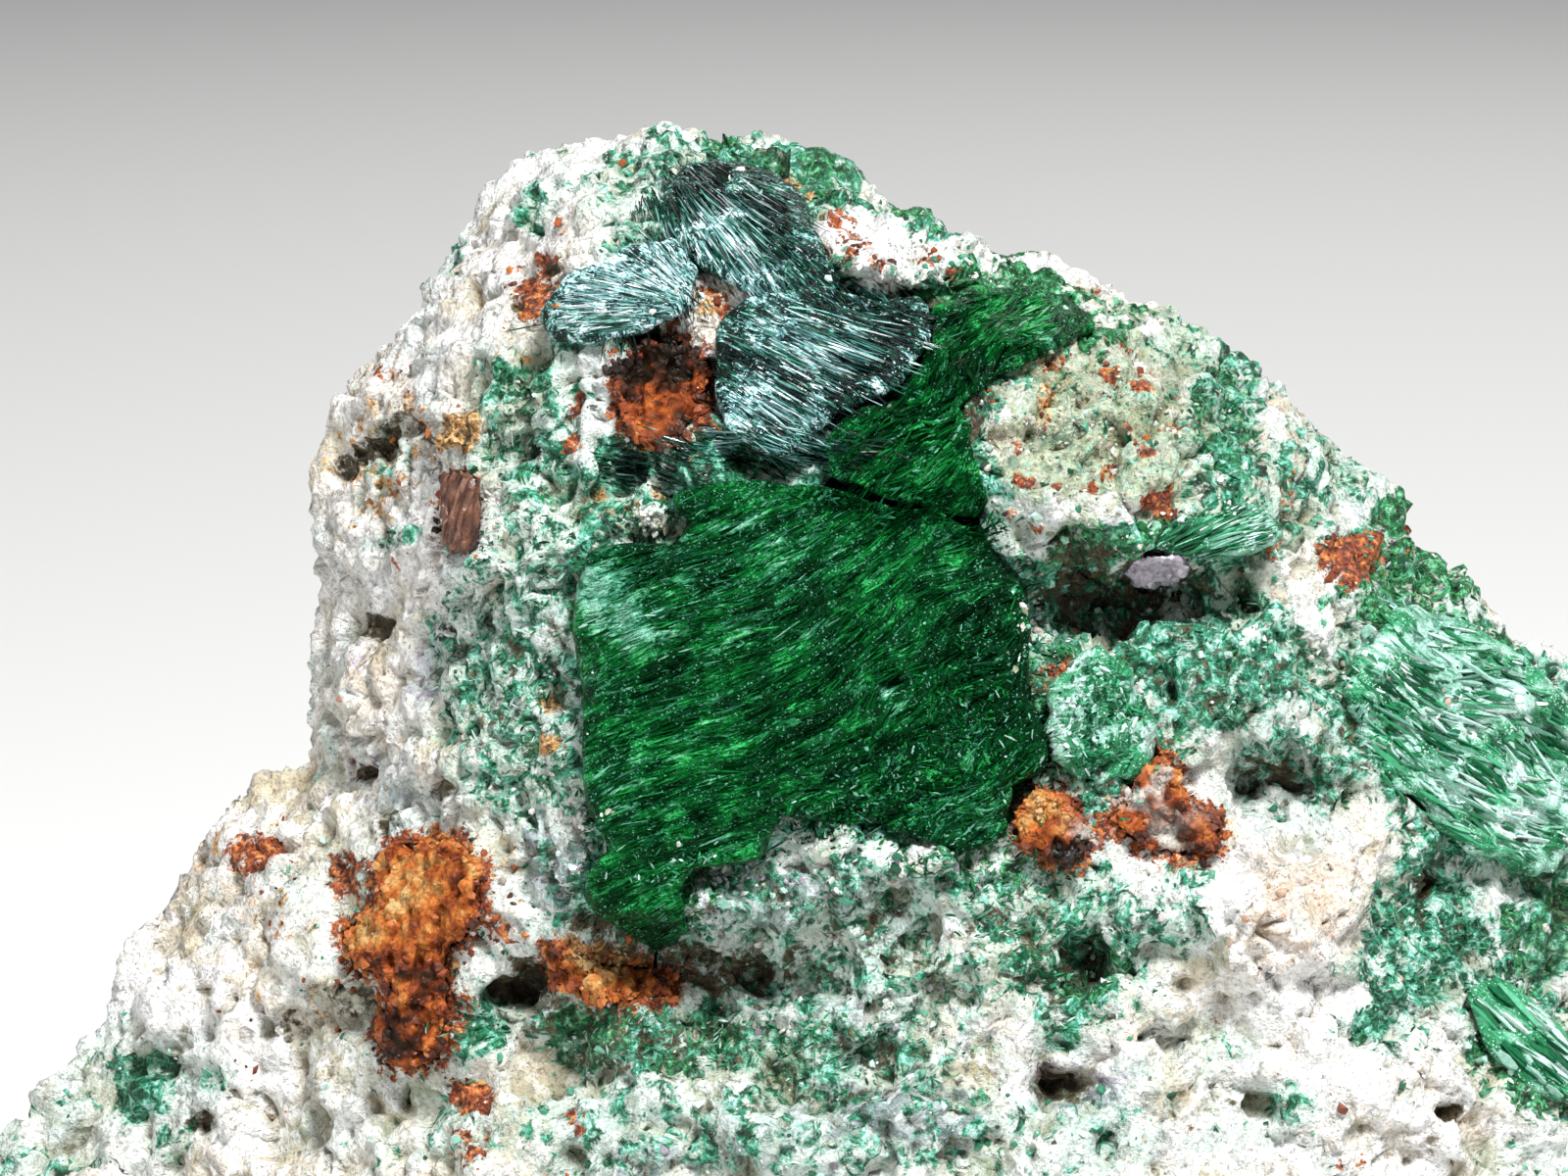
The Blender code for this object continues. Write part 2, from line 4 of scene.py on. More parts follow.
import bpy
import numpy as np
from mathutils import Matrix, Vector
from mathutils.bvhtree import BVHTree


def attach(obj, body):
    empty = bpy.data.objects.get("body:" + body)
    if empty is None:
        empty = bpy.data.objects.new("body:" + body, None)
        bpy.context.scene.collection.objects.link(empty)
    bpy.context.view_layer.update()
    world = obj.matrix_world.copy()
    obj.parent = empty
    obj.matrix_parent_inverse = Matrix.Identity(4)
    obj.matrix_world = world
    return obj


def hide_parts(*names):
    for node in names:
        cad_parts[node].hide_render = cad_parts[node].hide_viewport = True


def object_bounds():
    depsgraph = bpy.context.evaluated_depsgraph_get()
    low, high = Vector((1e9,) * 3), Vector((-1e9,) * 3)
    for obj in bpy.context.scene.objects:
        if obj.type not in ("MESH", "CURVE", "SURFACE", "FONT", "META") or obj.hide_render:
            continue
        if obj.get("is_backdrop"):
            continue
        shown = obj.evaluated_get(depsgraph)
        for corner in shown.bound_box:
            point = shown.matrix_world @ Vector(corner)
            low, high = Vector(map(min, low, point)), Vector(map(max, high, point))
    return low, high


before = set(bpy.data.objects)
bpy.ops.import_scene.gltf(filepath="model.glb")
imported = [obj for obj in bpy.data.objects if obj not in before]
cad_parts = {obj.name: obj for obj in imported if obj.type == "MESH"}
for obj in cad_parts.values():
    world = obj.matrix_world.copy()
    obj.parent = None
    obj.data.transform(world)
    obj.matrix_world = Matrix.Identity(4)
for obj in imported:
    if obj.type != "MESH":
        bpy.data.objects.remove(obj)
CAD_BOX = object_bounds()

MM = 0.001
PICTURE_MM = 40.0
PICTURE_UNITS = 1600
PICTURE_CENTRE = (800, 600)
UNIT = PICTURE_MM / PICTURE_UNITS
EYE_MM = 160.0
VIEW_TILT = math.radians(12)
BASE_DROP = 21.0
BASE_BACK = 4.5
SENSOR_MM = 36.0
RIM_W = -7.0  # height of the rock's widest edge, behind which it isn't painted from the front

FOCUS = (860, 640, 540, 430)  # the sharp middle of the picture: place, half width, half height
FOCUS_EDGE = 0.205  # longest mesh edges of the rock, in mm
FRONT_EDGE = 0.31
SIDE_EDGE = 0.42
COARSE_EDGE = 0.72
SEAM_X = 800  # where the front of the rock is divided into two pieces
SKIN_EDGE = 0.165
SWELL = 0.11  # growth of the crystals that closes the gaps left around their CAD solids
SEED = 11
RANDOM = np.random.default_rng(SEED)

TOWARDS = np.array([0, -math.cos(VIEW_TILT), math.sin(VIEW_TILT)])
UPWARDS = np.array([0, math.sin(VIEW_TILT), math.cos(VIEW_TILT)])
SIDEWAYS = np.array([1.0, 0, 0])
MIDDLE = np.array([0, -BASE_BACK, BASE_DROP])
EYE = MIDDLE + TOWARDS * EYE_MM

# Colours, linear.
WHITE = (0.76, 0.735, 0.69)
CREAM = (0.56, 0.50, 0.41)
GREY = (0.40, 0.39, 0.38)
PEACH = (0.66, 0.40, 0.27)
SAGE = (0.46, 0.48, 0.34)
LAVENDER = (0.36, 0.31, 0.38)
TEAL = (0.05, 0.25, 0.17)
TEAL_DARK = (0.006, 0.055, 0.035)
MINT = (0.30, 0.62, 0.47)
OCHRE = (0.48, 0.21, 0.06)
RUST = (0.30, 0.075, 0.022)
RUST_DARK = (0.07, 0.018, 0.01)
# The darkest painted shade, with some stain, in pits and clefts.
PIT_SHADE_AND_STAIN = (0.035, 0.03, 0.018)
EMERALD_DARK = (0.002, 0.022, 0.008)
EMERALD = (0.008, 0.13, 0.03)
EMERALD_BRIGHT = (0.03, 0.36, 0.09)
# SILVER_GREEN and SILVER are the silky sprays' painted sheen.
SILVER_GREEN = (0.30, 0.60, 0.56)
SILVER = (0.68, 0.90, 0.95)
BLADE_BRIGHT = (0.08, 0.62, 0.18)

# Where each mineral, and the painted shade in pits and clefts, lies on the front: place, half width, half height, turn
# and cover from 0 to 1.
GREEN_PLACES = [
    (1425, 540, 18, 44, 10, 0.9), (810, 165, 70, 26, -18, 0.9), (880, 190, 60, 18, -24, 0.8),
    (1040, 318, 90, 46, -12, 1.0),
    (1205, 352, 60, 34, -20, 0.45),
    (540, 205, 22, 26, 0, 0.75), (463, 250, 8, 32, 0, 0.7), (632, 170, 24, 20, 0, 0.7),
    (655, 200, 60, 56, 0, 0.5), (770, 178, 70, 36, -20, 0.95), (925, 205, 96, 30, -22, 0.85),
    (525, 385, 44, 24, 18, 0.85), (540, 450, 60, 90, 0, 0.62), (545, 580, 56, 90, 0, 0.58),
    (520, 700, 84, 90, 0, 0.6), (535, 790, 80, 50, 0, 0.55), (570, 870, 60, 60, 0, 0.42),
    (400, 552, 28, 10, 18, 0.6), (645, 470, 60, 30, 0, 0.7), (1020, 310, 110, 50, -12, 0.95),
    (960, 350, 40, 60, 0, 0.9), (1250, 430, 40, 100, 6, 0.78), (1160, 555, 110, 36, 8, 0.8),
    (1090, 606, 80, 44, 0, 0.9), (1215, 650, 90, 50, 0, 0.62), (1110, 740, 86, 90, 0, 0.85),
    (1440, 590, 80, 70, -30, 0.82), (1300, 700, 66, 50, 0, 0.45), (1290, 770, 50, 60, 0, 0.6),
    (1000, 890, 120, 50, 0, 0.6), (850, 900, 150, 50, 0, 0.36), (1060, 940, 110, 80, 0, 0.62),
    (900, 1000, 210, 60, 0, 0.55), (640, 1055, 120, 40, 0, 0.8), (490, 1050, 54, 34, 0, 0.75),
    (1105, 1000, 60, 70, 0, 0.85), (820, 1070, 170, 44, 0, 0.68), (700, 1140, 220, 70, 0, 0.44),
    (1205, 895, 34, 24, 40, 0.6), (1190, 940, 40, 36, 0, 0.62), (140, 1110, 40, 36, 0, 0.9),
    (130, 1110, 90, 70, 0, 0.36), (215, 1105, 14, 14, 0, 0.6), (175, 1165, 24, 20, 0, 0.5),
    (70, 1182, 40, 14, 0, 0.5), (1265, 1070, 20, 14, 0, 0.5), (1315, 1125, 30, 22, 0, 0.6),
    (1450, 960, 66, 120, -14, 0.8), (1545, 960, 24, 24, 0, 0.6), (1580, 930, 40, 70, -10, 0.85),
    (1570, 1080, 90, 70, -30, 0.7), (1370, 760, 60, 90, -20, 0.6), (1500, 760, 150, 120, -30, 0.8),
    (1000, 1160, 200, 50, 0, 0.3), (1040, 760, 30, 80, 0, 0.9), (690, 890, 60, 40, 0, 0.5),
    (745, 462, 120, 34, 0, 0.95), (620, 505, 60, 44, 0, 0.75), (600, 565, 34, 50, 0, 0.7),
    (1345, 470, 70, 110, -30, 0.56), (1240, 690, 116, 66, 0, 0.8), (1110, 440, 120, 100, -8, 0.3),
    (1060, 380, 40, 60, 0, 0.4), (1400, 470, 40, 60, -20, 0.4), (860, 300, 80, 30, -20, 0.8),
    (700, 170, 60, 40, 0, 0.6), (610, 345, 60, 20, 0, 0.6), (430, 1000, 120, 200, 0, 0.22),
    (800, 1150, 400, 60, 0, 0.5), (820, 930, 200, 60, 0, 0.55), (1240, 600, 60, 40, 0, 0.7), (1010, 395, 30, 40, 0, 0.6),
    (590, 320, 30, 30, 0, 0.6), (680, 240, 60, 50, 0, 0.7), (1560, 1190, 80, 30, 0, 0.35),
]
EMERALD_PLACES = [
    (1425, 540, 18, 44, 10, 0.9), (800, 170, 60, 22, -20, 0.6),     (1050, 320, 96, 60, -12, 1.0),
    (1040, 300, 70, 44, -12, 0.95), (960, 350, 44, 60, 0, 0.9), (1110, 740, 76, 76, 0, 0.5),
    (1440, 590, 80, 60, -30, 0.75), (1250, 430, 36, 90, 6, 0.45), (1500, 650, 70, 60, -30, 0.6),
    (780, 175, 60, 30, -20, 0.6), (900, 200, 80, 24, -20, 0.6), (690, 910, 44, 34, 0, 0.7),
    (1105, 1000, 56, 66, 0, 0.5), (640, 1055, 110, 40, 0, 0.5), (1160, 555, 110, 36, 8, 0.6),
    (1040, 770, 40, 90, 0, 0.8), (1000, 870, 80, 40, 0, 0.5), (1570, 1080, 90, 70, -30, 0.7),
    (1580, 930, 40, 70, -10, 0.5), (600, 600, 30, 60, 0, 0.5), (745, 470, 110, 20, 0, 0.3),
]
RUST_PLACES = [
    (548, 298, 26, 26, 0, 0.8), (556, 272, 18, 12, 0, 0.75), (390, 382, 16, 12, 0, 0.4),
    (585, 455, 12, 14, 0, 0.75), (590, 415, 10, 16, 0, 0.6), (722, 292, 12, 12, 0, 0.7),
    (737, 310, 9, 14, 0, 0.7), (687, 326, 9, 8, 0, 0.7), (835, 255, 13, 10, 0, 0.7),
    (875, 250, 11, 11, 0, 0.6), (895, 270, 11, 10, 0, 0.6), (1135, 377, 11, 8, 0, 0.7),
    (1165, 392, 18, 11, 0, 0.82), (1165, 460, 14, 11, 0, 0.7), (1182, 515, 24, 16, 0, 0.9),
    (1045, 490, 11, 10, 0, 0.7), (1110, 500, 11, 10, 0, 0.6), (1015, 403, 9, 9, 0, 0.7),
    (1380, 570, 36, 26, 20, 0.8), (345, 890, 18, 24, 0, 0.75), (262, 872, 30, 22, 0, 0.75),
    (515, 950, 22, 14, 0, 0.6), (375, 955, 26, 32, 0, 0.8), (430, 960, 60, 50, 0, 0.7),
    (422, 1060, 32, 32, 0, 0.9), (465, 1030, 22, 26, 0, 0.6), (1092, 692, 24, 14, 0, 0.9),
    (1170, 772, 14, 24, 0, 0.85), (1150, 842, 26, 14, 0, 0.85), (1222, 848, 28, 22, 0, 0.85),
    (1068, 838, 34, 34, 0, 0.85), (485, 1118, 24, 18, 0, 0.85), (485, 1172, 22, 24, 0, 0.5),
    (590, 1150, 14, 18, 0, 0.5), (1375, 1190, 20, 12, 0, 0.4), (1320, 505, 10, 26, 0, 0.4),
    (1590, 800, 16, 14, 0, 0.6), (1112, 296, 14, 11, 0, 0.6), (1430, 640, 14, 12, 0, 0.5),
    (1085, 365, 10, 9, 0, 0.7), (1100, 332, 10, 8, 0, 0.6), (1205, 430, 11, 10, 0, 0.6),
    (1150, 432, 9, 8, 0, 0.6), (1040, 452, 10, 12, 0, 0.6), (1076, 502, 10, 9, 0, 0.6),
    (1130, 482, 10, 9, 0, 0.6), (1060, 532, 10, 10, 0, 0.6), (1030, 520, 9, 11, 0, 0.6),
    (1152, 350, 9, 8, 0, 0.6), (1300, 560, 12, 16, 0, 0.5), (860, 235, 11, 10, 0, 0.6),
    (950, 262, 13, 10, 0, 0.6), (975, 275, 11, 8, 0, 0.6), (680, 400, 50, 55, 0, 0.85), (400, 575, 10, 12, 0, 0.4), (470, 520, 26, 44, 0, 0.55),
]
OCHRE_PLACES = [
    (440, 900, 58, 46, 0, 0.85), (430, 1000, 36, 60, 0, 0.6), (465, 440, 26, 26, 0, 0.85),
    (385, 492, 44, 34, 0, 0.45), (400, 455, 56, 36, 35, 0.45), (330, 466, 50, 44, 0, 0.25), (565, 762, 12, 12, 0, 0.8),
    (560, 720, 16, 12, 0, 0.6), (1066, 400, 12, 48, 0, 0.5), (625, 976, 34, 16, 0, 0.85),
    (587, 978, 26, 22, 0, 0.9), (1110, 820, 60, 40, 0, 0.35), (330, 1030, 50, 30, 0, 0.3),
    (730, 300, 34, 24, 0, 0.5), (1480, 755, 16, 10, 0, 0.6),
]
# Not a mineral: painted shade in pits, clefts, cavities and beneath ledges and lumps, with some blackish stain.
SHADE_AND_STAIN_PLACES = [
    (925, 304, 86, 9, -12, 0.55), (1085, 560, 40, 10, 0, 0.5), (1215, 545, 50, 9, 0, 0.4),
    (400, 450, 34, 17, 35, 0.8), (350, 476, 12, 16, 0, 0.8), (465, 442, 17, 20, 0, 0.46), (520, 308, 8, 8, 0, 0.8),
    (560, 275, 12, 9, 0, 0.8), (380, 638, 20, 14, 0, 0.9), (370, 790, 12, 10, 0, 0.9),
    (355, 1025, 24, 20, 0, 0.5), (297, 1045, 12, 20, 0, 0.45), (460, 805, 28, 14, 0, 0.6),
    (395, 838, 20, 14, 0, 0.6), (205, 1145, 18, 14, 0, 0.6), (1485, 1135, 13, 11, 0, 0.95),
    (1250, 1115, 18, 13, 0, 0.45), (1200, 1050, 28, 20, 0, 0.35), (1150, 604, 110, 30, 0, 0.62),
    (1295, 795, 36, 28, 0, 0.62), (725, 990, 90, 20, 5, 0.62), (620, 946, 40, 12, 0, 0.7),
    (530, 1000, 32, 26, 0, 0.8), (948, 328, 5, 30, 0, 1.0), (680, 352, 26, 8, 0, 0.9),
    (1105, 995, 26, 24, 0, 0.6), (1085, 1105, 40, 14, 0, 0.6), (985, 440, 10, 60, -12, 0.7),
    (1450, 905, 16, 18, 0, 0.9), (470, 555, 26, 8, 0, 0.5),
    (540, 750, 20, 60, 0, 0.4), (560, 660, 16, 40, 0, 0.4), (520, 710, 66, 70, 0, 0.34),
    (900, 960, 200, 60, 0, 0.34), (1060, 960, 80, 80, 0, 0.36), (820, 1080, 180, 44, 0, 0.34),
    (620, 1060, 110, 40, 0, 0.42), (1240, 690, 90, 60, 0, 0.3), (1100, 740, 70, 70, 0, 0.3),
    (1380, 780, 60, 80, -20, 0.34), (545, 460, 50, 80, 0, 0.26), (790, 930, 90, 30, 0, 0.36),
    (1110, 440, 110, 90, 0, 0.24), (1450, 900, 60, 80, 0, 0.3), (700, 970, 90, 20, 0, 0.4),
]
LAVENDER_PLACES = [
    (570, 880, 44, 50, 0, 0.6), (780, 912, 100, 40, 0, 0.75), (377, 672, 16, 14, 0, 0.4),
    (440, 668, 24, 22, 0, 0.7), (436, 702, 24, 16, 0, 0.6), (915, 1135, 100, 34, 0, 0.75),
    (690, 1180, 100, 24, 0, 0.5), (1090, 1105, 70, 30, 0, 0.5), (380, 800, 40, 50, 0, 0.3),
    (600, 620, 20, 30, 0, 0.4), (1180, 580, 40, 20, 0, 0.7), (850, 1060, 200, 60, 0, 0.36),
    (940, 920, 120, 50, 0, 0.36), (600, 900, 40, 60, 0, 0.4), (820, 1150, 300, 50, 0, 0.36),
    (560, 640, 40, 60, 0, 0.3),
]
WHITE_PLACES = [
    # Whitest along the white ledge's lower rim: white rock with a painted highlight on its edge.
    (925, 284, 92, 9, -10, 0.95),
    (465, 580, 44, 32, 0, 0.9), (915, 258, 104, 34, -8, 0.8), (600, 838, 44, 24, 0, 0.85),
    (1205, 925, 90, 44, 0, 0.85), (160, 1025, 90, 40, 20, 0.8), (640, 150, 60, 20, 10, 0.7),
    (500, 230, 60, 50, 0, 0.6), (430, 570, 60, 80, 0, 0.5), (1560, 690, 56, 44, -20, 0.9),
    (1400, 1060, 170, 110, -30, 0.6), (1540, 1180, 110, 50, 0, 0.7), (540, 190, 90, 40, 20, 0.5),
    (1003, 456, 14, 10, 0, 0.95), (940, 995, 26, 18, 0, 0.8), (935, 872, 50, 14, 10, 0.7),
    (410, 1120, 60, 50, 0, 0.4), (1290, 640, 60, 30, 0, 0.4), (1140, 812, 30, 20, 0, 0.8),
    (825, 190, 16, 16, 0, 0.9), (330, 960, 60, 40, 0, 0.4), (1010, 1190, 60, 20, 0, 0.6),
    (545, 385, 24, 12, 0, 0.7), (590, 730, 12, 30, 0, 0.8), (655, 532, 36, 18, 0, 0.6),
    (500, 340, 60, 22, 0, 0.5), (250, 1120, 200, 60, 0, 0.4), (780, 1090, 30, 20, 0, 0.5),
    (850, 1010, 30, 16, 0, 0.5), (1200, 790, 26, 14, 0, 0.6), (700, 1120, 120, 20, 0, 0.4),
]
# Where pale grains crowd: place, half width, half height and how many.
GRAIN_CLUSTERS = [
    (1050, 640, 16, 46, 150),
    (915, 262, 95, 24, 330), (655, 532, 32, 14, 90), (600, 836, 32, 13, 90), (780, 912, 84, 28, 260),
    (1110, 440, 110, 95, 420), (935, 878, 44, 13, 90), (1205, 925, 60, 30, 100), (570, 882, 26, 36, 90),
    (500, 600, 60, 90, 160), (700, 320, 30, 26, 90), (1350, 960, 110, 80, 160), (900, 1000, 200, 80, 260),
    (1290, 690, 80, 60, 120), (1482, 761, 15, 7, 60), (1487, 714, 17, 7, 60), (1440, 700, 80, 60, 90),
    (1110, 740, 60, 60, 120), (400, 930, 70, 100, 120), (520, 720, 60, 100, 120), (1060, 640, 30, 60, 80),
]
# Lumps and pits: place, half width, half height, turn and height in mm.
RELIEF_PLACES = [
    (465, 584, 42, 24, 0, 0.5), (925, 282, 92, 8, -10, 0.4),
    (915, 256, 100, 30, -8, 0.75), (600, 835, 34, 16, 0, 0.5), (655, 532, 36, 17, 0, 0.6),
    (465, 440, 20, 24, 0, 0.35), (780, 912, 90, 32, 0, 0.4), (570, 882, 28, 40, 0, 0.35),
    (935, 878, 46, 15, 10, 0.45), (1205, 925, 70, 34, 0, 0.35), (1290, 725, 44, 34, 0, 0.5),
    (1330, 940, 70, 60, 0, 0.4), (1110, 440, 112, 98, -8, 0.3), (620, 1008, 66, 9, 4, 0.5),
    (1400, 1000, 120, 14, -30, 0.35), (1460, 1085, 130, 12, -32, 0.35), (1270, 985, 60, 10, -50, 0.3),
    (700, 330, 26, 30, 0, 0.3), (540, 420, 40, 16, 30, 0.25), (170, 1030, 80, 30, 20, 0.3),
    (1390, 790, 60, 12, -30, 0.3), (880, 1045, 60, 12, 20, 0.3), (1350, 500, 16, 60, 0, 0.25),
    (400, 450, 34, 15, 35, -0.6), (350, 476, 12, 14, 0, -0.3), (393, 497, 15, 9, 0, -0.4),
    (380, 638, 20, 14, 0, -0.35), (370, 790, 10, 9, 0, -0.35), (355, 1025, 22, 18, 0, -0.35),
    (297, 1045, 12, 18, 0, -0.3), (460, 805, 26, 12, 0, -0.3), (395, 838, 18, 12, 0, -0.3),
    (205, 1145, 16, 12, 0, -0.5), (1485, 1135, 12, 10, 0, -0.35), (1250, 1115, 16, 11, 0, -0.3),
    (1200, 1050, 26, 18, 0, -0.3), (1450, 905, 14, 16, 0, -0.35), (1105, 995, 24, 24, 0, -0.3),
    (948, 328, 7, 26, 0, -0.3), (992, 450, 9, 60, -12, -0.4), (1085, 1105, 40, 14, 0, -0.4),
    (530, 1012, 30, 24, 0, -0.5), (900, 1080, 40, 16, 20, -0.4), (1340, 1180, 40, 14, -20, -0.4),
    (430, 1130, 22, 16, 0, -0.45), (250, 1170, 26, 14, 0, -0.4), (560, 700, 14, 30, 0, -0.35),
    (505, 620, 16, 26, 0, -0.35), (585, 500, 14, 22, 0, -0.3), (1075, 545, 40, 12, 0, -0.4),
]
SAGE_PLACES = [
    (1195, 350, 64, 54, 0, 0.6), (1230, 400, 40, 60, 0, 0.4),
    (1110, 440, 130, 112, -8, 0.75), (1060, 640, 50, 70, 0, 0.5), (660, 530, 50, 24, 0, 0.6),
    (900, 260, 90, 36, -14, 0.2),
]
PEACH_PLACES = [
    (1320, 500, 14, 60, 0, 0.65), (1330, 940, 84, 80, -20, 0.5), (1450, 1110, 180, 110, -20, 0.32),
    (1490, 716, 22, 10, 0, 0.7), (1320, 430, 14, 80, 6, 0.75), (1290, 470, 8, 50, 0, 0.6), (1480, 762, 20, 9, 0, 0.7), (740, 300, 40, 30, 0, 0.4), (380, 720, 60, 60, 0, 0.32),
    (230, 880, 60, 50, 0, 0.3), (860, 255, 60, 24, 0, 0.35), (380, 380, 60, 40, 0, 0.3),
]


# A pit in the main patch, sunk and painted darker as its shade, a mint tuft and the crack's line; then place, size and
# change of tone where the rust is darker, redder or more golden than elsewhere.
PIT = (908, 692, 9)
TUFT = ((616, 592, 20), (614, 612, 22), (628, 630, 22), (650, 640, 16))
CRACK = [(770, 490), (850, 503), (930, 522), (1005, 548)]
RUST_TONES = [
    (690, 358, 38, -0.45), (674, 392, 60, -0.12), (656, 425, 24, 0.34), (706, 388, 18, 0.3), (640, 380, 16, -0.3), (590, 980, 26, 0.35),
    (625, 976, 30, 0.45), (375, 958, 24, 0.3), (440, 900, 50, 0.35), (422, 1062, 30, -0.15),
    (1172, 775, 18, 0.35), (1065, 826, 20, 0.3), (1088, 872, 18, -0.5), (1092, 692, 24, -0.2),
    (1150, 842, 24, 0.1), (465, 440, 24, 0.4), (400, 455, 40, 0.2), (485, 1118, 22, 0.25),
]


def in_space(picture_points, heights):
    """Positions in mm of picture places at heights over the view plane, along the eye's rays."""
    flat = (np.asarray(picture_points, float) - PICTURE_CENTRE) * (UNIT, -UNIT)
    shrink = 1 - np.asarray(heights, float) / EYE_MM
    return (MIDDLE + (flat[:, :1] * shrink[:, None]) * SIDEWAYS
            + (flat[:, 1:] * shrink[:, None]) * UPWARDS + np.asarray(heights)[:, None] * TOWARDS)


def in_picture(points):
    """Picture places and heights of positions in mm."""
    offset = points - MIDDLE
    heights = offset @ TOWARDS
    shrink = 1 - heights / EYE_MM
    places = np.stack([offset @ SIDEWAYS / shrink / UNIT, -(offset @ UPWARDS) / shrink / UNIT], axis=1)
    return places + PICTURE_CENTRE, heights


def hashed(cells, salt):
    """A number from 0 to 1 for each whole-number cell."""
    mixed = cells[..., 0] * 374761393 + cells[..., 1] * 668265263 + cells[..., 2] * 1274126177
    mixed = (mixed + salt * 974634777) & 0xFFFFFFFF
    mixed = ((mixed ^ (mixed >> 13)) * 1103515245) & 0xFFFFFFFF
    mixed = ((mixed ^ (mixed >> 16)) * 668265263) & 0xFFFFFFFF
    return (mixed ^ (mixed >> 15)) / 4294967295.0


def cloud(points, size, salt):
    """Smooth noise from -1 to 1 with lumps of the given size."""
    scaled = points / size
    whole = np.floor(scaled).astype(np.int64)
    part = scaled - whole
    part = part * part * (3 - 2 * part)
    total = np.zeros(len(points))
    for corner in range(8):
        step = np.array([corner & 1, corner >> 1 & 1, corner >> 2])
        weight = np.where(step, part, 1 - part).prod(axis=1)
        total += weight * hashed(whole + step, salt)
    return total * 2 - 1


def grain_field(points, size, salt):
    """Distance to the nearest grain centre, from 0 to about 1, and that grain's own number."""
    scaled = points / size
    whole = np.floor(scaled).astype(np.int64)
    best = np.full(len(points), 9.0)
    number = np.zeros(len(points))
    for i in (-1, 0, 1):
        for j in (-1, 0, 1):
            for k in (-1, 0, 1):
                cell = whole + (i, j, k)
                centre = cell + np.stack([hashed(cell, salt + axis) for axis in range(3)], axis=1)
                distance = np.linalg.norm(scaled - centre, axis=1)
                closer = distance < best
                best = np.where(closer, distance, best)
                number = np.where(closer, hashed(cell, salt + 7), number)
    return best, number


def smooth_step(value, low, high):
    part = np.clip((value - low) / (high - low), 0, 1)
    return part * part * (3 - 2 * part)


def weights_of(places, features, edge):
    """Each feature's last number and its share at picture places, with ragged edges of a given width."""
    points = np.column_stack([places, np.zeros(len(places))])
    ragged = 0.35 * cloud(points, 26.0, 3) + 0.2 * cloud(points, 9.0, 4)
    for px, py, half_width, half_height, turn, amount in features:
        angle = math.radians(turn)
        offset = places - (px, py)
        across = offset[:, 0] * math.cos(angle) - offset[:, 1] * math.sin(angle)
        along = offset[:, 1] * math.cos(angle) + offset[:, 0] * math.sin(angle)
        radius = np.hypot(across / half_width, along / half_height) + ragged
        yield amount, smooth_step(-radius, -1 - edge / 2, -1 + edge / 2)


def cover(places, features):
    """How much of a mineral the features give at picture places."""
    total = np.zeros(len(places))
    for amount, share in weights_of(places, features, 0.8):
        total = np.maximum(total, amount * share)
    return total


def relief(places):
    """Height in mm of the lumps and pits at picture places."""
    return sum(height * share for height, share in weights_of(places, RELIEF_PLACES, 0.3))


def mesh_arrays(node):
    """Corners in mm and triangles of a CAD node."""
    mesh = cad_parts[node].data
    mesh.calc_loop_triangles()
    corners = np.empty(len(mesh.vertices) * 3)
    mesh.vertices.foreach_get("co", corners)
    triangles = np.empty(len(mesh.loop_triangles) * 3, dtype=np.int64)
    mesh.loop_triangles.foreach_get("vertices", triangles)
    return corners.reshape(-1, 3) / MM, triangles.reshape(-1, 3)


def welded(corners, triangles):
    """The same surface with corners at one place made into one."""
    _, first, numbers = np.unique(np.round(corners, 4), axis=0, return_index=True, return_inverse=True)
    triangles = numbers.reshape(-1)[triangles]
    whole = ((triangles[:, 0] != triangles[:, 1]) & (triangles[:, 1] != triangles[:, 2])
             & (triangles[:, 0] != triangles[:, 2]))
    return corners[first], triangles[whole]


def refined(corners, triangles, longest):
    """The surface with each edge halved until none is longer than longest(middles, facing)."""
    for _ in range(8):
        normals = normals_of(corners, triangles)
        edges = np.sort(triangles[:, [0, 1, 1, 2, 2, 0]].reshape(-1, 2), axis=1)
        unique, edge_of = np.unique(edges, axis=0, return_inverse=True)
        edge_of = edge_of.reshape(-1, 3)
        middles = corners[unique].mean(axis=1)
        length = np.linalg.norm(corners[unique[:, 0]] - corners[unique[:, 1]], axis=1)
        facing = normals[unique].mean(axis=1) @ TOWARDS
        split = length > longest(middles, facing)
        if not split.any():
            break
        number = np.full(len(unique), -1)
        number[split] = len(corners) + np.arange(split.sum())
        corners = np.vstack([corners, middles[split]])
        middle = number[edge_of]
        pieces = [triangles[(middle < 0).all(axis=1)]]
        for turn in range(3):
            a, b, c = (triangles[:, (turn + step) % 3] for step in range(3))
            ab, bc, ca = (middle[:, (turn + step) % 3] for step in range(3))
            one = (ab >= 0) & (bc < 0) & (ca < 0)
            pieces.append(np.stack([a, ab, c], axis=1)[one])
            pieces.append(np.stack([ab, b, c], axis=1)[one])
            two = (ab >= 0) & (bc >= 0) & (ca < 0)
            pieces.append(np.stack([ab, b, bc], axis=1)[two])
            pieces.append(np.stack([a, ab, bc], axis=1)[two])
            pieces.append(np.stack([a, bc, c], axis=1)[two])
        whole = (middle >= 0).all(axis=1)
        a, b, c = triangles[whole].T
        ab, bc, ca = middle[whole].T
        for corner_set in ((a, ab, ca), (ab, b, bc), (ca, bc, c), (ab, bc, ca)):
            pieces.append(np.stack(corner_set, axis=1))
        triangles = np.vstack(pieces)
    return corners, triangles


def normals_of(corners, triangles):
    a, b, c = corners[triangles].transpose(1, 0, 2)
    face = np.cross(b - a, c - a)
    total = np.zeros_like(corners)
    for side in range(3):
        np.add.at(total, triangles[:, side], face)
    return total / np.maximum(np.linalg.norm(total, axis=1), 1e-12)[:, None]


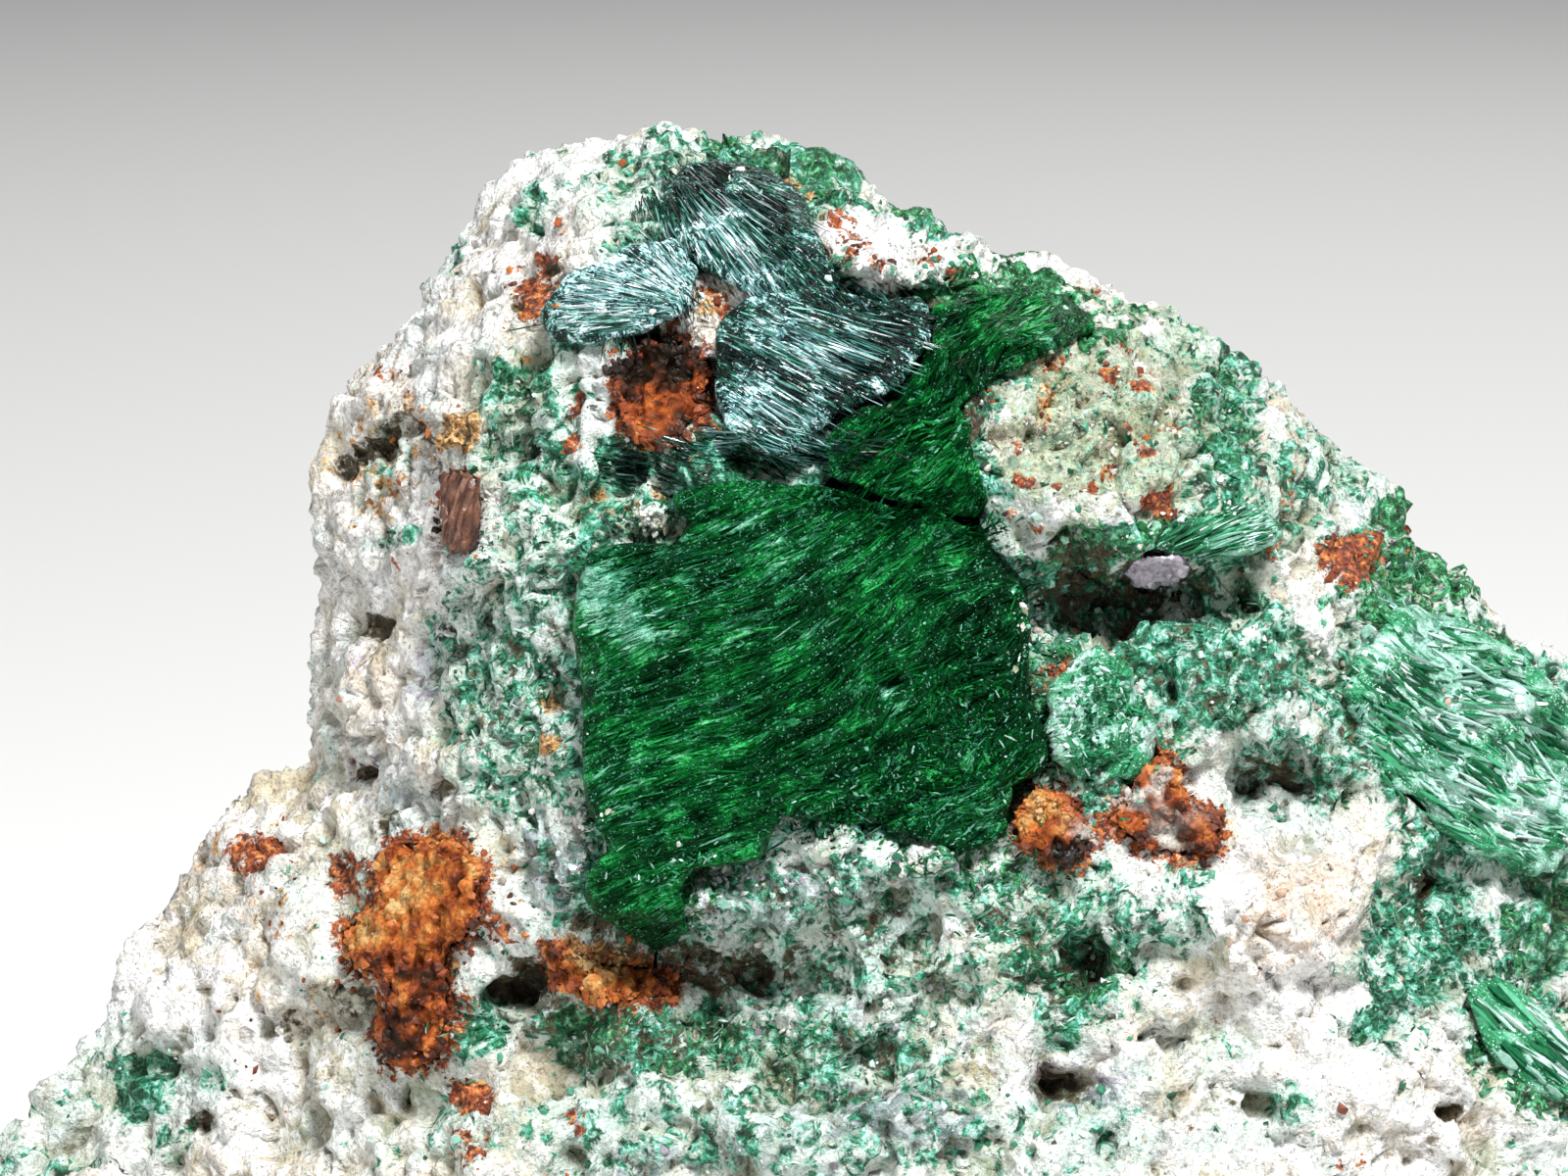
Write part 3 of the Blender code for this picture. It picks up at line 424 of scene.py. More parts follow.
def relaxed(corners, triangles, rounds, share):
    """Corners moved part of the way to the middle of their neighbours."""
    edges = np.unique(np.sort(triangles[:, [0, 1, 1, 2, 2, 0]].reshape(-1, 2), axis=1), axis=0)
    count = np.bincount(edges.reshape(-1), minlength=len(corners))[:, None]
    for _ in range(rounds):
        total = np.zeros_like(corners)
        np.add.at(total, edges[:, 0], corners[edges[:, 1]])
        np.add.at(total, edges[:, 1], corners[edges[:, 0]])
        corners = corners + share * (total / np.maximum(count, 1) - corners)
    return corners


def new_piece(name, corners, faces, surface, slot, smooth=False, **attributes):
    """A mesh piece from arrays in mm, with colour attributes, riding on the one body."""
    mesh = bpy.data.meshes.new(name)
    sides = faces.shape[1]
    mesh.vertices.add(len(corners))
    mesh.vertices.foreach_set("co", (corners * MM).astype(np.float32).reshape(-1))
    mesh.loops.add(faces.size)
    mesh.loops.foreach_set("vertex_index", faces.astype(np.int32).reshape(-1))
    mesh.polygons.add(len(faces))
    mesh.polygons.foreach_set("loop_start", np.arange(0, faces.size, sides, dtype=np.int32))
    mesh.update(calc_edges=True)
    mesh.validate()
    for attribute, values in attributes.items():
        if attribute == "flow":
            layer = mesh.attributes.new(attribute, "FLOAT_VECTOR", "POINT")
            layer.data.foreach_set("vector", (values * MM).astype(np.float32).reshape(-1))
            continue
        layer = mesh.color_attributes.new(attribute, "FLOAT_COLOR", "POINT")
        layer.data.foreach_set("color", np.column_stack([values, np.ones(len(values))]).reshape(-1))
    mesh.polygons.foreach_set("use_smooth", np.full(len(mesh.polygons), smooth))
    piece = bpy.data.objects.new(name, mesh)
    bpy.context.scene.collection.objects.link(piece)
    mesh.materials.append(surface)
    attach(piece, "root")
    return piece


class Surface:
    """A node material, with short calls for the nodes it is wired from."""

    def __init__(self, name):
        self.material = bpy.data.materials.new(name)
        self.material.use_nodes = True
        self.nodes = self.material.node_tree.nodes
        self.links = self.material.node_tree.links
        self.shader = self.nodes["Principled BSDF"]
        self.coordinates = self.nodes.new("ShaderNodeTexCoord").outputs["Object"]

    def set(self, **values):
        for socket, value in values.items():
            self.shader.inputs[socket.replace("_", " ")].default_value = value

    def wire(self, socket, value):
        if isinstance(value, bpy.types.NodeSocket):
            self.links.new(value, socket)
        elif isinstance(value, tuple):
            socket.default_value = (*value, 1)
        else:
            socket.default_value = value

    def noise(self, size_mm, detail=4.0, roughness=0.55, distortion=0.0, coordinates=None):
        node = self.nodes.new("ShaderNodeTexNoise")
        self.links.new(coordinates or self.coordinates, node.inputs["Vector"])
        node.inputs["Scale"].default_value = 1 / (size_mm * MM)
        node.inputs["Detail"].default_value = detail
        node.inputs["Roughness"].default_value = roughness
        node.inputs["Distortion"].default_value = distortion
        return node.outputs["Fac"]

    def cells(self, size_mm, output="Distance", feature="F1", coordinates=None):
        node = self.nodes.new("ShaderNodeTexVoronoi")
        node.feature = feature
        self.links.new(coordinates or self.coordinates, node.inputs["Vector"])
        node.inputs["Scale"].default_value = 1 / (size_mm * MM)
        return node.outputs[output]

    def ramp(self, value, *stops):
        node = self.nodes.new("ShaderNodeValToRGB")
        self.links.new(value, node.inputs["Fac"])
        elements = node.color_ramp.elements
        while len(elements) < len(stops):
            elements.new(0.5)
        for element, (place, color) in zip(elements, stops):
            element.position = place
            element.color = (*color, 1) if isinstance(color, tuple) else (color, color, color, 1)
        return node.outputs["Color"]

    def mix(self, factor, first, second, mode="MIX"):
        node = self.nodes.new("ShaderNodeMix")
        node.data_type = "RGBA"
        node.blend_type = mode
        self.wire(node.inputs["Factor"], factor)
        self.wire(node.inputs[6], first)
        self.wire(node.inputs[7], second)
        return node.outputs[2]

    def math(self, operation, first, second=0.0):
        node = self.nodes.new("ShaderNodeMath")
        node.operation = operation
        self.wire(node.inputs[0], first)
        self.wire(node.inputs[1], second)
        return node.outputs[0]

    def attribute(self, name):
        node = self.nodes.new("ShaderNodeAttribute")
        node.attribute_name = name
        return node.outputs["Color"]

    def flow(self, along, depth):
        """Coordinates that follow the fibres, squeezed along them and in depth."""
        node = self.nodes.new("ShaderNodeAttribute")
        node.attribute_name = "flow"
        return self.vectors("MULTIPLY", node.outputs["Vector"], (along, 1, depth))

    def vectors(self, operation, first, second):
        node = self.nodes.new("ShaderNodeVectorMath")
        node.operation = operation
        self.links.new(first, node.inputs[0])
        if isinstance(second, tuple):
            node.inputs[1].default_value = second
        elif second is not None:
            self.links.new(second, node.inputs[1])
        return node.outputs[0]

    def glitter(self, normal, size_mm, amount):
        """The normal turned at random from cell to cell, as small crystal faces are."""
        offset = self.vectors("SUBTRACT", self.cells(size_mm, "Color"), (0.5, 0.5, 0.5))
        offset = self.vectors("MULTIPLY", offset, (amount, amount, amount))
        return self.vectors("NORMALIZE", self.vectors("ADD", normal, offset), None)

    def channels(self, name):
        node = self.nodes.new("ShaderNodeSeparateColor")
        self.links.new(self.attribute(name), node.inputs["Color"])
        return node.outputs

    def patches(self, amount, noise, softness=0.05):
        """A mask that fills the given share of the surface, with edges drawn by the noise."""
        spread = self.math("MULTIPLY", self.math("SUBTRACT", noise, 0.5), 2.2)
        level = self.math("ADD", amount, spread)
        return self.ramp(level, (0.5 - softness, 0.0), (0.5 + softness, 1.0))

    def bump(self, height, depth_mm, strength=1.0, under=None):
        node = self.nodes.new("ShaderNodeBump")
        node.inputs["Distance"].default_value = depth_mm * MM
        node.inputs["Strength"].default_value = strength
        self.links.new(height, node.inputs["Height"])
        if under:
            self.links.new(under, node.inputs["Normal"])
        return node.outputs["Normal"]


def rock_material():
    """Pale altered granite, with mineral patches where the paint says, painted shade with olive stain where the
    surface lies low, mottled at every size.
    """
    look = Surface("altered_granite")
    broad, middle = look.noise(3.6, 3, 0.6), look.noise(1.3, 4, 0.62, 0.4)
    grain, fine = look.noise(0.5, 4, 0.66), look.noise(0.15, 3, 0.7)
    facet = look.nodes.new("ShaderNodeSeparateColor")
    look.links.new(look.cells(0.38, "Color"), facet.inputs["Color"])
    first, second, third = (look.channels(name) for name in ("paint_a", "paint_b", "paint_c"))
    green, rust, shade_and_stain = first[0], first[1], first[2]
    ochre, lavender, sage = second[0], second[1], second[2]
    peach, white, hollow_shade_and_stain = third[0], third[1], third[2]
    emerald = look.channels("paint_d")[0]

    color = look.ramp(broad, (0.32, (0.54, 0.47, 0.33)), (0.41, (0.72, 0.66, 0.56)), (0.50, WHITE),
                      (0.60, (0.62, 0.66, 0.65)), (0.72, (0.78, 0.76, 0.70)))
    color = look.mix(look.ramp(middle, (0.33, 0.75), (0.43, 0.0)), color, (0.40, 0.35, 0.24))
    color = look.mix(look.ramp(middle, (0.54, 0.0), (0.64, 0.7)), color, (0.46, 0.56, 0.53))
    color = look.mix(look.ramp(facet.outputs["Red"], (0.62, 0.0), (0.8, 0.8)), color, (0.90, 0.89, 0.87))
    color = look.mix(look.ramp(facet.outputs["Green"], (0.84, 0.0), (0.96, 0.6)), color, (0.36, 0.35, 0.33))
    color = look.mix(look.patches(sage, middle, 0.2), color,
                     look.ramp(grain, (0.36, (0.07, 0.10, 0.04)), (0.43, (0.26, 0.30, 0.16)),
                               (0.50, (0.52, 0.46, 0.31)), (0.57, (0.34, 0.52, 0.38)),
                               (0.66, (0.74, 0.70, 0.60))))
    color = look.mix(look.patches(peach, grain, 0.2), color,
                     look.ramp(grain, (0.36, (0.54, 0.30, 0.16)), (0.48, (0.62, 0.42, 0.30)),
                               (0.60, (0.70, 0.61, 0.53))))
    color = look.mix(look.patches(lavender, grain, 0.15), color,
                     look.ramp(facet.outputs["Blue"], (0.0, (0.06, 0.03, 0.05)), (0.35, (0.20, 0.15, 0.22)),
                               (0.65, (0.46, 0.40, 0.50)), (1.0, (0.78, 0.76, 0.82))))
    color = look.mix(look.patches(white, middle, 0.2), color,
                     look.ramp(grain, (0.3, (0.74, 0.72, 0.68)), (0.5, (0.90, 0.89, 0.88))))
    wash = look.math("MULTIPLY", green, look.math("SUBTRACT", 0.85, look.math("MULTIPLY", emerald, 0.7)))
    color = look.mix(wash, color, look.ramp(middle, (0.35, (0.12, 0.34, 0.24)), (0.6, (0.46, 0.68, 0.58))))
    mottle = look.noise(0.55, 4, 0.68, 0.6)
    green_tone = look.ramp(look.noise(0.36, 4, 0.7, 0.6), (0.34, (0.001, 0.012, 0.006)),
                           (0.42, (0.004, 0.05, 0.022)), (0.48, (0.010, 0.15, 0.065)),
                           (0.53, (0.04, 0.30, 0.18)), (0.58, (0.16, 0.50, 0.38)), (0.66, (0.52, 0.80, 0.72)))
    emerald_tone = look.ramp(look.noise(0.24, 4, 0.74), (0.36, (0.0006, 0.008, 0.003)),
                             (0.44, (0.002, 0.05, 0.014)), (0.50, (0.006, 0.13, 0.03)),
                             (0.56, (0.03, 0.30, 0.10)), (0.66, (0.30, 0.62, 0.42)))
    green_tone = look.mix(look.patches(emerald, middle, 0.12), green_tone, emerald_tone)
    color = look.mix(look.patches(look.math("MULTIPLY", green, 0.86), mottle, 0.09), color, green_tone)
    color = look.mix(look.patches(ochre, grain, 0.12), color,
                     look.ramp(fine, (0.34, (0.10, 0.045, 0.015)), (0.45, (0.40, 0.20, 0.06)),
                               (0.54, (0.62, 0.34, 0.12)), (0.66, (0.80, 0.60, 0.32))))
    color = look.mix(look.patches(rust, look.noise(0.30, 3, 0.7), 0.07), color,
                     look.ramp(look.noise(0.2, 3, 0.7), (0.40, RUST_DARK), (0.50, (0.26, 0.05, 0.014)),
                               (0.58, (0.50, 0.14, 0.03)), (0.70, (0.70, 0.36, 0.12))))
    # Painted shade with some stain: near black in pits, clefts and beneath ledges.
    color = look.mix(look.patches(shade_and_stain, grain, 0.12), color,
                     look.ramp(fine, (0.36, PIT_SHADE_AND_STAIN), (0.52, (0.075, 0.055, 0.025)), (0.66, (0.15, 0.14, 0.07))))
    # Painted shade with olive stain: the colour darkened and browned where the surface lies low.
    color = look.mix(1.0, color, look.ramp(hollow_shade_and_stain, (0.1, (0.36, 0.31, 0.19)), (0.38, (0.80, 0.76, 0.68)),
                                           (0.55, 1.0)), "MULTIPLY")
    color = look.mix(0.75, color, look.ramp(fine, (0.36, 0.5), (0.5, 1.0)), "MULTIPLY")
    look.links.new(color, look.shader.inputs["Base Color"])
    look.links.new(look.ramp(facet.outputs["Blue"], (0.0, 0.2), (0.2, 0.5), (1.0, 0.85)),
                   look.shader.inputs["Roughness"])
    normal = look.bump(fine, 0.09)
    normal = look.bump(look.math("ADD", look.math("MULTIPLY", grain, 2.0), facet.outputs["Red"]), 0.14,
                       0.8, normal)
    look.links.new(look.glitter(normal, 0.12, 0.5), look.shader.inputs["Normal"])
    return look.material


def painted_material(name, roughness, variation, **values):
    """The piece's own paint, broken up by fine noise; for blades and grains."""
    look = Surface(name)
    fine = look.noise(0.12, 3, 0.6)
    shade = look.ramp(fine, (0.35, 1 - variation), (0.65, 1.0))
    color = look.mix(1.0, look.attribute("paint"), shade, "MULTIPLY")
    look.links.new(color, look.shader.inputs["Base Color"])
    low, high = roughness
    look.links.new(look.ramp(look.noise(0.3, 1), (0.35, low), (0.65, high)), look.shader.inputs["Roughness"])
    look.links.new(look.bump(fine, 0.02, 0.6), look.shader.inputs["Normal"])
    look.set(**values)
    return look.material


def fibre_material(name, tones, pale_tones, roughness, sparkle, tint, contrast=1.0):
    """Matted parallel crystals: tones along a row by the fibres' own noise, paler where painted, and small pale cells
    as painted glints.
    """
    look = Surface(name)
    thin = look.noise(0.05, 3, 0.6, 0.2, look.flow(0.07, 0.5))
    broad = look.noise(0.22, 3, 0.6, 0.3, look.flow(0.14, 0.5))
    fine, lumps = look.noise(0.07, 3, 0.65), look.noise(0.6, 4, 0.65, 0.4)
    shade, pale = look.channels("paint")[0], look.channels("paint")[1]
    level = shade
    for noise, amount in ((thin, 1.5), (broad, 1.0), (fine, 0.7), (lumps, 0.9)):
        shift = look.math("MULTIPLY", look.math("SUBTRACT", noise, 0.5), amount * contrast)
        level = look.math("ADD", level, shift)
    row = [(0.05 + 0.9 * step / (len(tones) - 1), tone) for step, tone in enumerate(tones)]
    pale_row = [(0.05 + 0.9 * step / (len(pale_tones) - 1), tone) for step, tone in enumerate(pale_tones)]
    color = look.mix(look.patches(pale, broad, 0.25), look.ramp(level, *row), look.ramp(level, *pale_row))
    glint_flecks = look.nodes.new("ShaderNodeSeparateColor")
    look.links.new(look.cells(0.04, "Color"), glint_flecks.inputs["Color"])
    # Painted glints: a share of small cells tinted pale.
    color = look.mix(look.ramp(glint_flecks.outputs["Red"], (1 - sparkle, 0.0), (1 - sparkle / 2, 0.7)), color,
                     pale_tones[-2])
    look.links.new(color, look.shader.inputs["Base Color"])
    low, high = roughness
    look.links.new(look.ramp(glint_flecks.outputs["Green"], (0.0, low), (0.3, (low + high) / 2), (1.0, high)),
                   look.shader.inputs["Roughness"])
    normal = look.bump(look.math("ADD", look.math("MULTIPLY", thin, 1.0), fine), 0.05)
    normal = look.bump(look.math("ADD", broad, lumps), 0.12, 0.8, normal)
    look.links.new(look.glitter(normal, 0.05, 0.7), look.shader.inputs["Normal"])
    look.set(Specular_IOR_Level=0.3, Specular_Tint=(*tint, 1))
    return look.material


def front_paint(places, heights, positions, facing):
    """Cover of each mineral on the rock, and of the painted shade in its pits and clefts; behind the rim only
    scattered patches of green and rust.
    """
    bend = 44 * (1 - smooth_step(facing, 0.05, 0.5))[:, None]
    places = places + bend * np.column_stack([cloud(positions, 1.9, salt) for salt in (95, 96)])
    front = smooth_step(heights, RIM_W - 2.2, RIM_W - 0.4)
    layers = [cover(places, features) * front for features in
              (GREEN_PLACES, RUST_PLACES, SHADE_AND_STAIN_PLACES, OCHRE_PLACES, LAVENDER_PLACES, SAGE_PLACES,
               PEACH_PLACES, WHITE_PLACES, EMERALD_PLACES)]
    specks = cloud(positions, 2.6, 91) + 0.5 * cloud(positions, 0.9, 92)
    layers[0] = np.maximum(layers[0], 0.42 * smooth_step(specks, 0.15, 0.9))
    stains = cloud(positions, 3.4, 93) + 0.5 * cloud(positions, 1.0, 94)
    layers[3] = np.maximum(layers[3], 0.42 * smooth_step(stains, 0.45, 1.1))
    return np.array(layers).T


def part_of(corners, triangles, chosen):
    """The chosen triangles with only their own corners, and which corners those are."""
    used, numbers = np.unique(triangles[chosen], return_inverse=True)
    return corners[used], numbers.reshape(-1, 3), used


def nearness(tree, points, reach):
    """From 1 on a surface to 0 at the given distance from it."""
    distances = np.array([tree.find_nearest(Vector(point), reach)[3] or reach for point in points])
    return 1 - distances / reach


def rock_surface(crystal_tree, green_tree, rust_tree):
    """The rock as a fine mesh: the CAD rock refined, closed on its crystals, and roughened."""
    corners, triangles = welded(*mesh_arrays("matrix"))

    def longest(middles, facing):
        places, heights = in_picture(middles)
        shown = ((heights > RIM_W - 0.5) & (places[:, 0] > -40) & (places[:, 0] < 1640)
                 & (places[:, 1] < 1240))
        px, py, half_width, half_height = FOCUS
        sharp = np.hypot((places[:, 0] - px) / half_width, (places[:, 1] - py) / half_height) < 1
        front = np.where(facing > 0.1, np.where(sharp, FOCUS_EDGE, FRONT_EDGE), SIDE_EDGE)
        return np.where(shown, front, COARSE_EDGE)

    corners, triangles = refined(corners, triangles, longest)
    on_base = corners[:, 2] < 0.01
    smoothed = relaxed(corners, triangles, 3, 0.5)
    corners = np.where(on_base[:, None], corners, smoothed)
    for index in range(len(corners)):
        if not on_base[index]:
            near, _, _, distance = crystal_tree.find_nearest(Vector(corners[index]), 0.75)
            if near is not None:
                pull = 1 - smooth_step(np.float64(distance), 0.36, 0.7)
                corners[index] += (np.array(near) - corners[index]) * pull * 0.93
    normals = normals_of(corners, triangles)
    places, heights = in_picture(corners)
    layers = front_paint(places, heights, corners, normals @ TOWARDS)
    near_green, near_rust = nearness(green_tree, corners, 1.3), nearness(rust_tree, corners, 0.8)
    layers[:, 0] = np.maximum(layers[:, 0], 0.66 * smooth_step(near_green, 0.1, 0.8))
    layers[:, 1] = np.maximum(layers[:, 1], 0.7 * smooth_step(near_rust, 0.1, 0.9))
    grains, number = grain_field(corners, 0.8, 21)
    small_grains, small_number = grain_field(corners, 0.36, 41)
    depth = 0.30 * cloud(corners, 1.6, 31) + 0.16 * cloud(corners, 0.7, 32) + 0.08 * cloud(corners, 0.36, 34)
    depth += 0.22 * (number - 0.5) + 0.18 * (small_number - 0.5) * (1.2 - small_grains)
    hollows = np.abs(cloud(corners, 1.0, 35)) + 0.4 * np.abs(cloud(corners, 0.5, 37))
    depth -= 0.36 * (1 - smooth_step(hollows, 0.02, 0.24))
    depth -= 0.35 * smooth_step(cloud(corners, 0.75, 38), 0.45, 0.75)
    depth -= 0.3 * layers[:, 2] * smooth_step(cloud(corners, 0.5, 33), -0.5, 0.4)
    rough = np.maximum(layers[:, 0], layers[:, 4])
    depth += rough * (0.42 * cloud(corners, 0.85, 39) - 0.3 * smooth_step(cloud(corners, 0.5, 40), 0.2, 0.6))
    # The lower the surface lies, the darker it is painted: painted shade with olive stain.
    hollow_shade_and_stain = np.clip(0.62 + 0.75 * depth, 0, 1)
    depth += 0.35 * cloud(corners, 3.5, 36) * (heights < RIM_W)
    free = smooth_step(-nearness(crystal_tree, corners, 0.5), -1.15, -0.1)
    depth = np.where(on_base, 0, depth * free)
    raised = relief(places) * free * smooth_step(heights, RIM_W, RIM_W + 2) * (normals @ TOWARDS > 0)
    # Sunk pits are painted darker still: painted shade.
    hollow_shade_and_stain = np.clip(hollow_shade_and_stain + 0.3 * np.minimum(raised, 0), 0, 1)
    corners = corners + normals * depth[:, None] + TOWARDS * np.where(on_base, 0, raised)[:, None]
    corners[:, 2] = np.where(on_base, 0, np.maximum(corners[:, 2], 0.02))
    surface = rock_material()
    paint_a, paint_b = layers[:, 0:3], layers[:, 3:6]
    paint_c = np.column_stack([layers[:, 6], layers[:, 7], hollow_shade_and_stain])
    paint_d = np.repeat(layers[:, 8:9], 3, axis=1)
    own_normals = normals_of(corners, triangles)
    middles = heights[triangles].mean(axis=1)
    front, left = middles >= RIM_W, places[triangles, 0].mean(axis=1) < SEAM_X
    for name, chosen in (("rock_front_left", front & left), ("rock_front_right", front & ~left),
                         ("rock_back", ~front)):
        own, faces, used = part_of(corners, triangles, chosen)
        piece = new_piece(name, own, faces, surface, "rock", True, paint_a=paint_a[used],
                          paint_b=paint_b[used], paint_c=paint_c[used], paint_d=paint_d[used])
        piece.data.normals_split_custom_set_from_vertices(own_normals[used].tolist())
        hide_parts("matrix")
    return corners, triangles


def tree_of(corners, triangles):
    return BVHTree.FromPolygons(corners.tolist(), triangles.tolist())


def struck(tree, places):
    """Where the eye's rays through picture places meet a surface: found, positions and normals."""
    targets = in_space(places, np.zeros(len(places)))
    found = np.zeros(len(places), bool)
    positions, normals = np.zeros((len(places), 3)), np.zeros((len(places), 3))
    eye = Vector(EYE)
    for index, target in enumerate(targets):
        place, normal, _, _ = tree.ray_cast(eye, Vector(target) - eye)
        if place is not None:
            found[index] = True
            positions[index] = place
            normals[index] = normal
    facing = np.sign((normals * TOWARDS).sum(axis=1))
    return found, positions, normals * np.where(facing == 0, 1, facing)[:, None]


def unit(vectors):
    return vectors / np.maximum(np.linalg.norm(vectors, axis=1), 1e-9)[:, None]


def laths(starts, ends, facing, widths, depths, colors, tip=0.15, bow=0.0):
    """Joined thin roofed blades from starts to ends, each a closed solid of three sides."""
    along = ends - starts
    side = unit(np.cross(facing, along))
    upward = unit(np.cross(along, side))
    upward *= np.sign((upward * facing).sum(axis=1))[:, None]
    stations = ((0.0, 0.5), (0.5, 1.0), (1.0, tip))
    ridge = RANDOM.uniform(-0.35, 0.35, len(starts))
    length = np.linalg.norm(along, axis=1)
    rings = []
    for travel, width in stations:
        middle = starts + along * travel + side * (bow * length * 4 * travel * (1 - travel))[:, None]
        half = widths * width / 2
        rings.append(middle - side * half[:, None] - upward * (depths * width)[:, None])
        rings.append(middle + side * (ridge * widths * width)[:, None] + upward * (depths * width)[:, None])
        rings.append(middle + side * half[:, None] - upward * (depths * width)[:, None])
    corners = np.stack(rings, axis=1).reshape(-1, 3)
    pattern = [(0, 2, 1), (6, 7, 8)]
    for ring in range(2):
        for corner in range(3):
            here, after = 3 * ring + corner, 3 * ring + (corner + 1) % 3
            pattern += [(here, after, after + 3), (here, after + 3, here + 3)]
    pattern = np.array(pattern)
    turned = np.einsum("ij,ij->i", np.cross(side, upward), along) < 0
    order = np.where(turned[:, None, None], pattern[None, :, ::-1], pattern[None])
    faces = (order + 9 * np.arange(len(starts))[:, None, None]).reshape(-1, 3)
    return corners, faces, np.repeat(colors, 9, axis=0)


def scattered_in(tree, box, count):
    """Random picture places in a box that lie on a surface."""
    low_x, low_y, high_x, high_y = box
    places = np.column_stack([RANDOM.uniform(low_x, high_x, count), RANDOM.uniform(low_y, high_y, count)])
    found, positions, normals = struck(tree, places)
    return places[found], positions[found], normals[found]


def box_of(node):
    """The picture box that a CAD node fills."""
    corners, _ = mesh_arrays(node)
    places, _ = in_picture(corners)
    return (*places.min(axis=0), *places.max(axis=0))


def spread(low, high, count):
    return RANDOM.uniform(low, high, count)


def blend_colors(shares, *colors):
    """Colours along a row of colours, by shares from 0 to 1."""
    row = np.array(colors)
    place = np.clip(shares, 0, 1) * (len(row) - 1)
    first = np.minimum(place.astype(int), len(row) - 2)
    part = (place - first)[:, None]
    return row[first] * (1 - part) + row[first + 1] * part


def parallel(turn, sway=0.0, size=90.0):
    """Fibres that run one way in the picture, in degrees, and drift by about sway from place to place."""
    angle = math.radians(turn)

    def flow(places):
        points = np.column_stack([places, np.zeros(len(places))])
        along = places[:, 0] * math.cos(angle) - places[:, 1] * math.sin(angle)
        across = places[:, 0] * math.sin(angle) + places[:, 1] * math.cos(angle)
        return along, across + 0.6 * size * math.tan(math.radians(sway)) * cloud(points, size, 61)
    return flow


def fanned(px, py, reach):
    """Fibres that spread from a picture place."""
    def flow(places):
        offset = places - (px, py)
        return np.hypot(offset[:, 0], offset[:, 1]), np.arctan2(-offset[:, 1], offset[:, 0]) * -reach
    return flow


def main_flow(places):
    """The main patch's grain: nearly straight, and unruly towards its right and lower edges."""
    along, across = parallel(27)(places)
    points = np.column_stack([places, np.zeros(len(places))])
    unruly = smooth_step(places[:, 0] + 0.6 * places[:, 1], 1180, 1480)
    across = across + 22 * cloud(points, 160.0, 62) + (3 + 16 * unruly) * cloud(points, 44.0, 61)
    return along, across


def steps_along(flow, places):
    """Unit picture steps that follow the fibres at picture places."""
    right, down = (1.0, 0.0), (0.0, 1.0)
    change = np.column_stack([flow(places + side)[1] - flow(places - side)[1]
                              for side in (np.array(right), np.array(down))])
    steps = np.column_stack([change[:, 1], -change[:, 0]])
    steps /= np.maximum(np.linalg.norm(steps, axis=1), 1e-9)[:, None]
    forward = np.sign(flow(places + steps)[0] - flow(places - steps)[0])
    return steps * np.where(forward == 0, 1, forward)[:, None]


def blades_on(name, places, within, flow, length, width, lift, color_of, surface, slot, rise=0.1,
              tip=0.15, sway=4.0, loose=0.0):
    """Blades that start at picture places and lie over whatever the eye sees there.

    A blade whose end isn't within its own group is cut short."""
    number = len(places)
    steps = steps_along(flow, places)
    turn = RANDOM.normal(0, math.radians(sway), number)
    steps = np.column_stack([steps[:, 0] * np.cos(turn) - steps[:, 1] * np.sin(turn),
                             steps[:, 0] * np.sin(turn) + steps[:, 1] * np.cos(turn)])
    reach = length[0] + (length[1] - length[0]) * RANDOM.random(number) ** 1.7
    step = steps * (reach / UNIT)[:, None]
    kept = within(places + step) | (RANDOM.random(number) < loose)
    share = np.where(kept, 1.0, RANDOM.uniform(0.1, 0.4, number))
    chosen, starts, normals = struck(FRONT, places)
    found, ends, _ = struck(FRONT, places + step * share[:, None])
    chosen &= found
    starts, ends, places, normals = starts[chosen], ends[chosen], places[chosen], normals[chosen]
    number = len(starts)
    lengths = np.linalg.norm(ends - starts, axis=1)
    limit = 1.5 * (reach * share)[chosen] + 0.15
    ends = starts + (ends - starts) * np.minimum(1, limit / np.maximum(lengths, 1e-6))[:, None]
    lengths = np.minimum(lengths, limit)
    facing = unit(normals * 0.4 + TOWARDS + RANDOM.normal(0, 0.3, (number, 3)))
    base_lift = spread(*lift, number)
    starts = starts + TOWARDS * base_lift[:, None]
    ends = ends + TOWARDS * (base_lift + lengths * spread(-0.3 * rise, rise, number))[:, None]
    widths = spread(*width, number)
    corners, faces, paint = laths(starts, ends, facing, widths, widths * spread(0.2, 0.5, number),
                                  color_of(places), tip)
    return new_piece(name, corners, faces, surface, slot, False, paint=paint)


def blade_group(name, node, count, *rest, stray=6.0, **more):
    """Blades over a crystal group, straying a little past its edge."""
    tree = tree_of(*mesh_arrays(node))
    places, _, _ = scattered_in(tree, box_of(node), count)
    places = places + RANDOM.normal(0, stray, places.shape)
    return blades_on(name, places, lambda ends: struck(tree, ends)[0], *rest, **more)


def blade_field(name, areas, count, *rest, **more):
    """Small blades in oval areas of the rock, thinning out towards their edges."""
    shares = np.array([width * height for _, _, width, height in areas], float)
    chosen = RANDOM.choice(len(areas), count, p=shares / shares.sum())
    ovals = np.array(areas, float)[chosen]
    places = ovals[:, :2] + ovals[:, 2:] * np.clip(RANDOM.normal(0, 0.5, (count, 2)), -1.2, 1.2)
    return blades_on(name, places, lambda ends: np.ones(len(ends), bool), *rest, **more)


def closing(places):
    """How far in mm the crystals on both sides grow towards the thin end of the crack between them."""
    line = np.interp(places[:, 0], *np.array(CRACK).T)
    beside = np.exp(-((places[:, 1] - line) / 16) ** 2) * (places[:, 0] < CRACK[-1][0] + 12)
    return 0.115 * np.sign(places[:, 1] - line) * beside * smooth_step(places[:, 0], 800, 880)


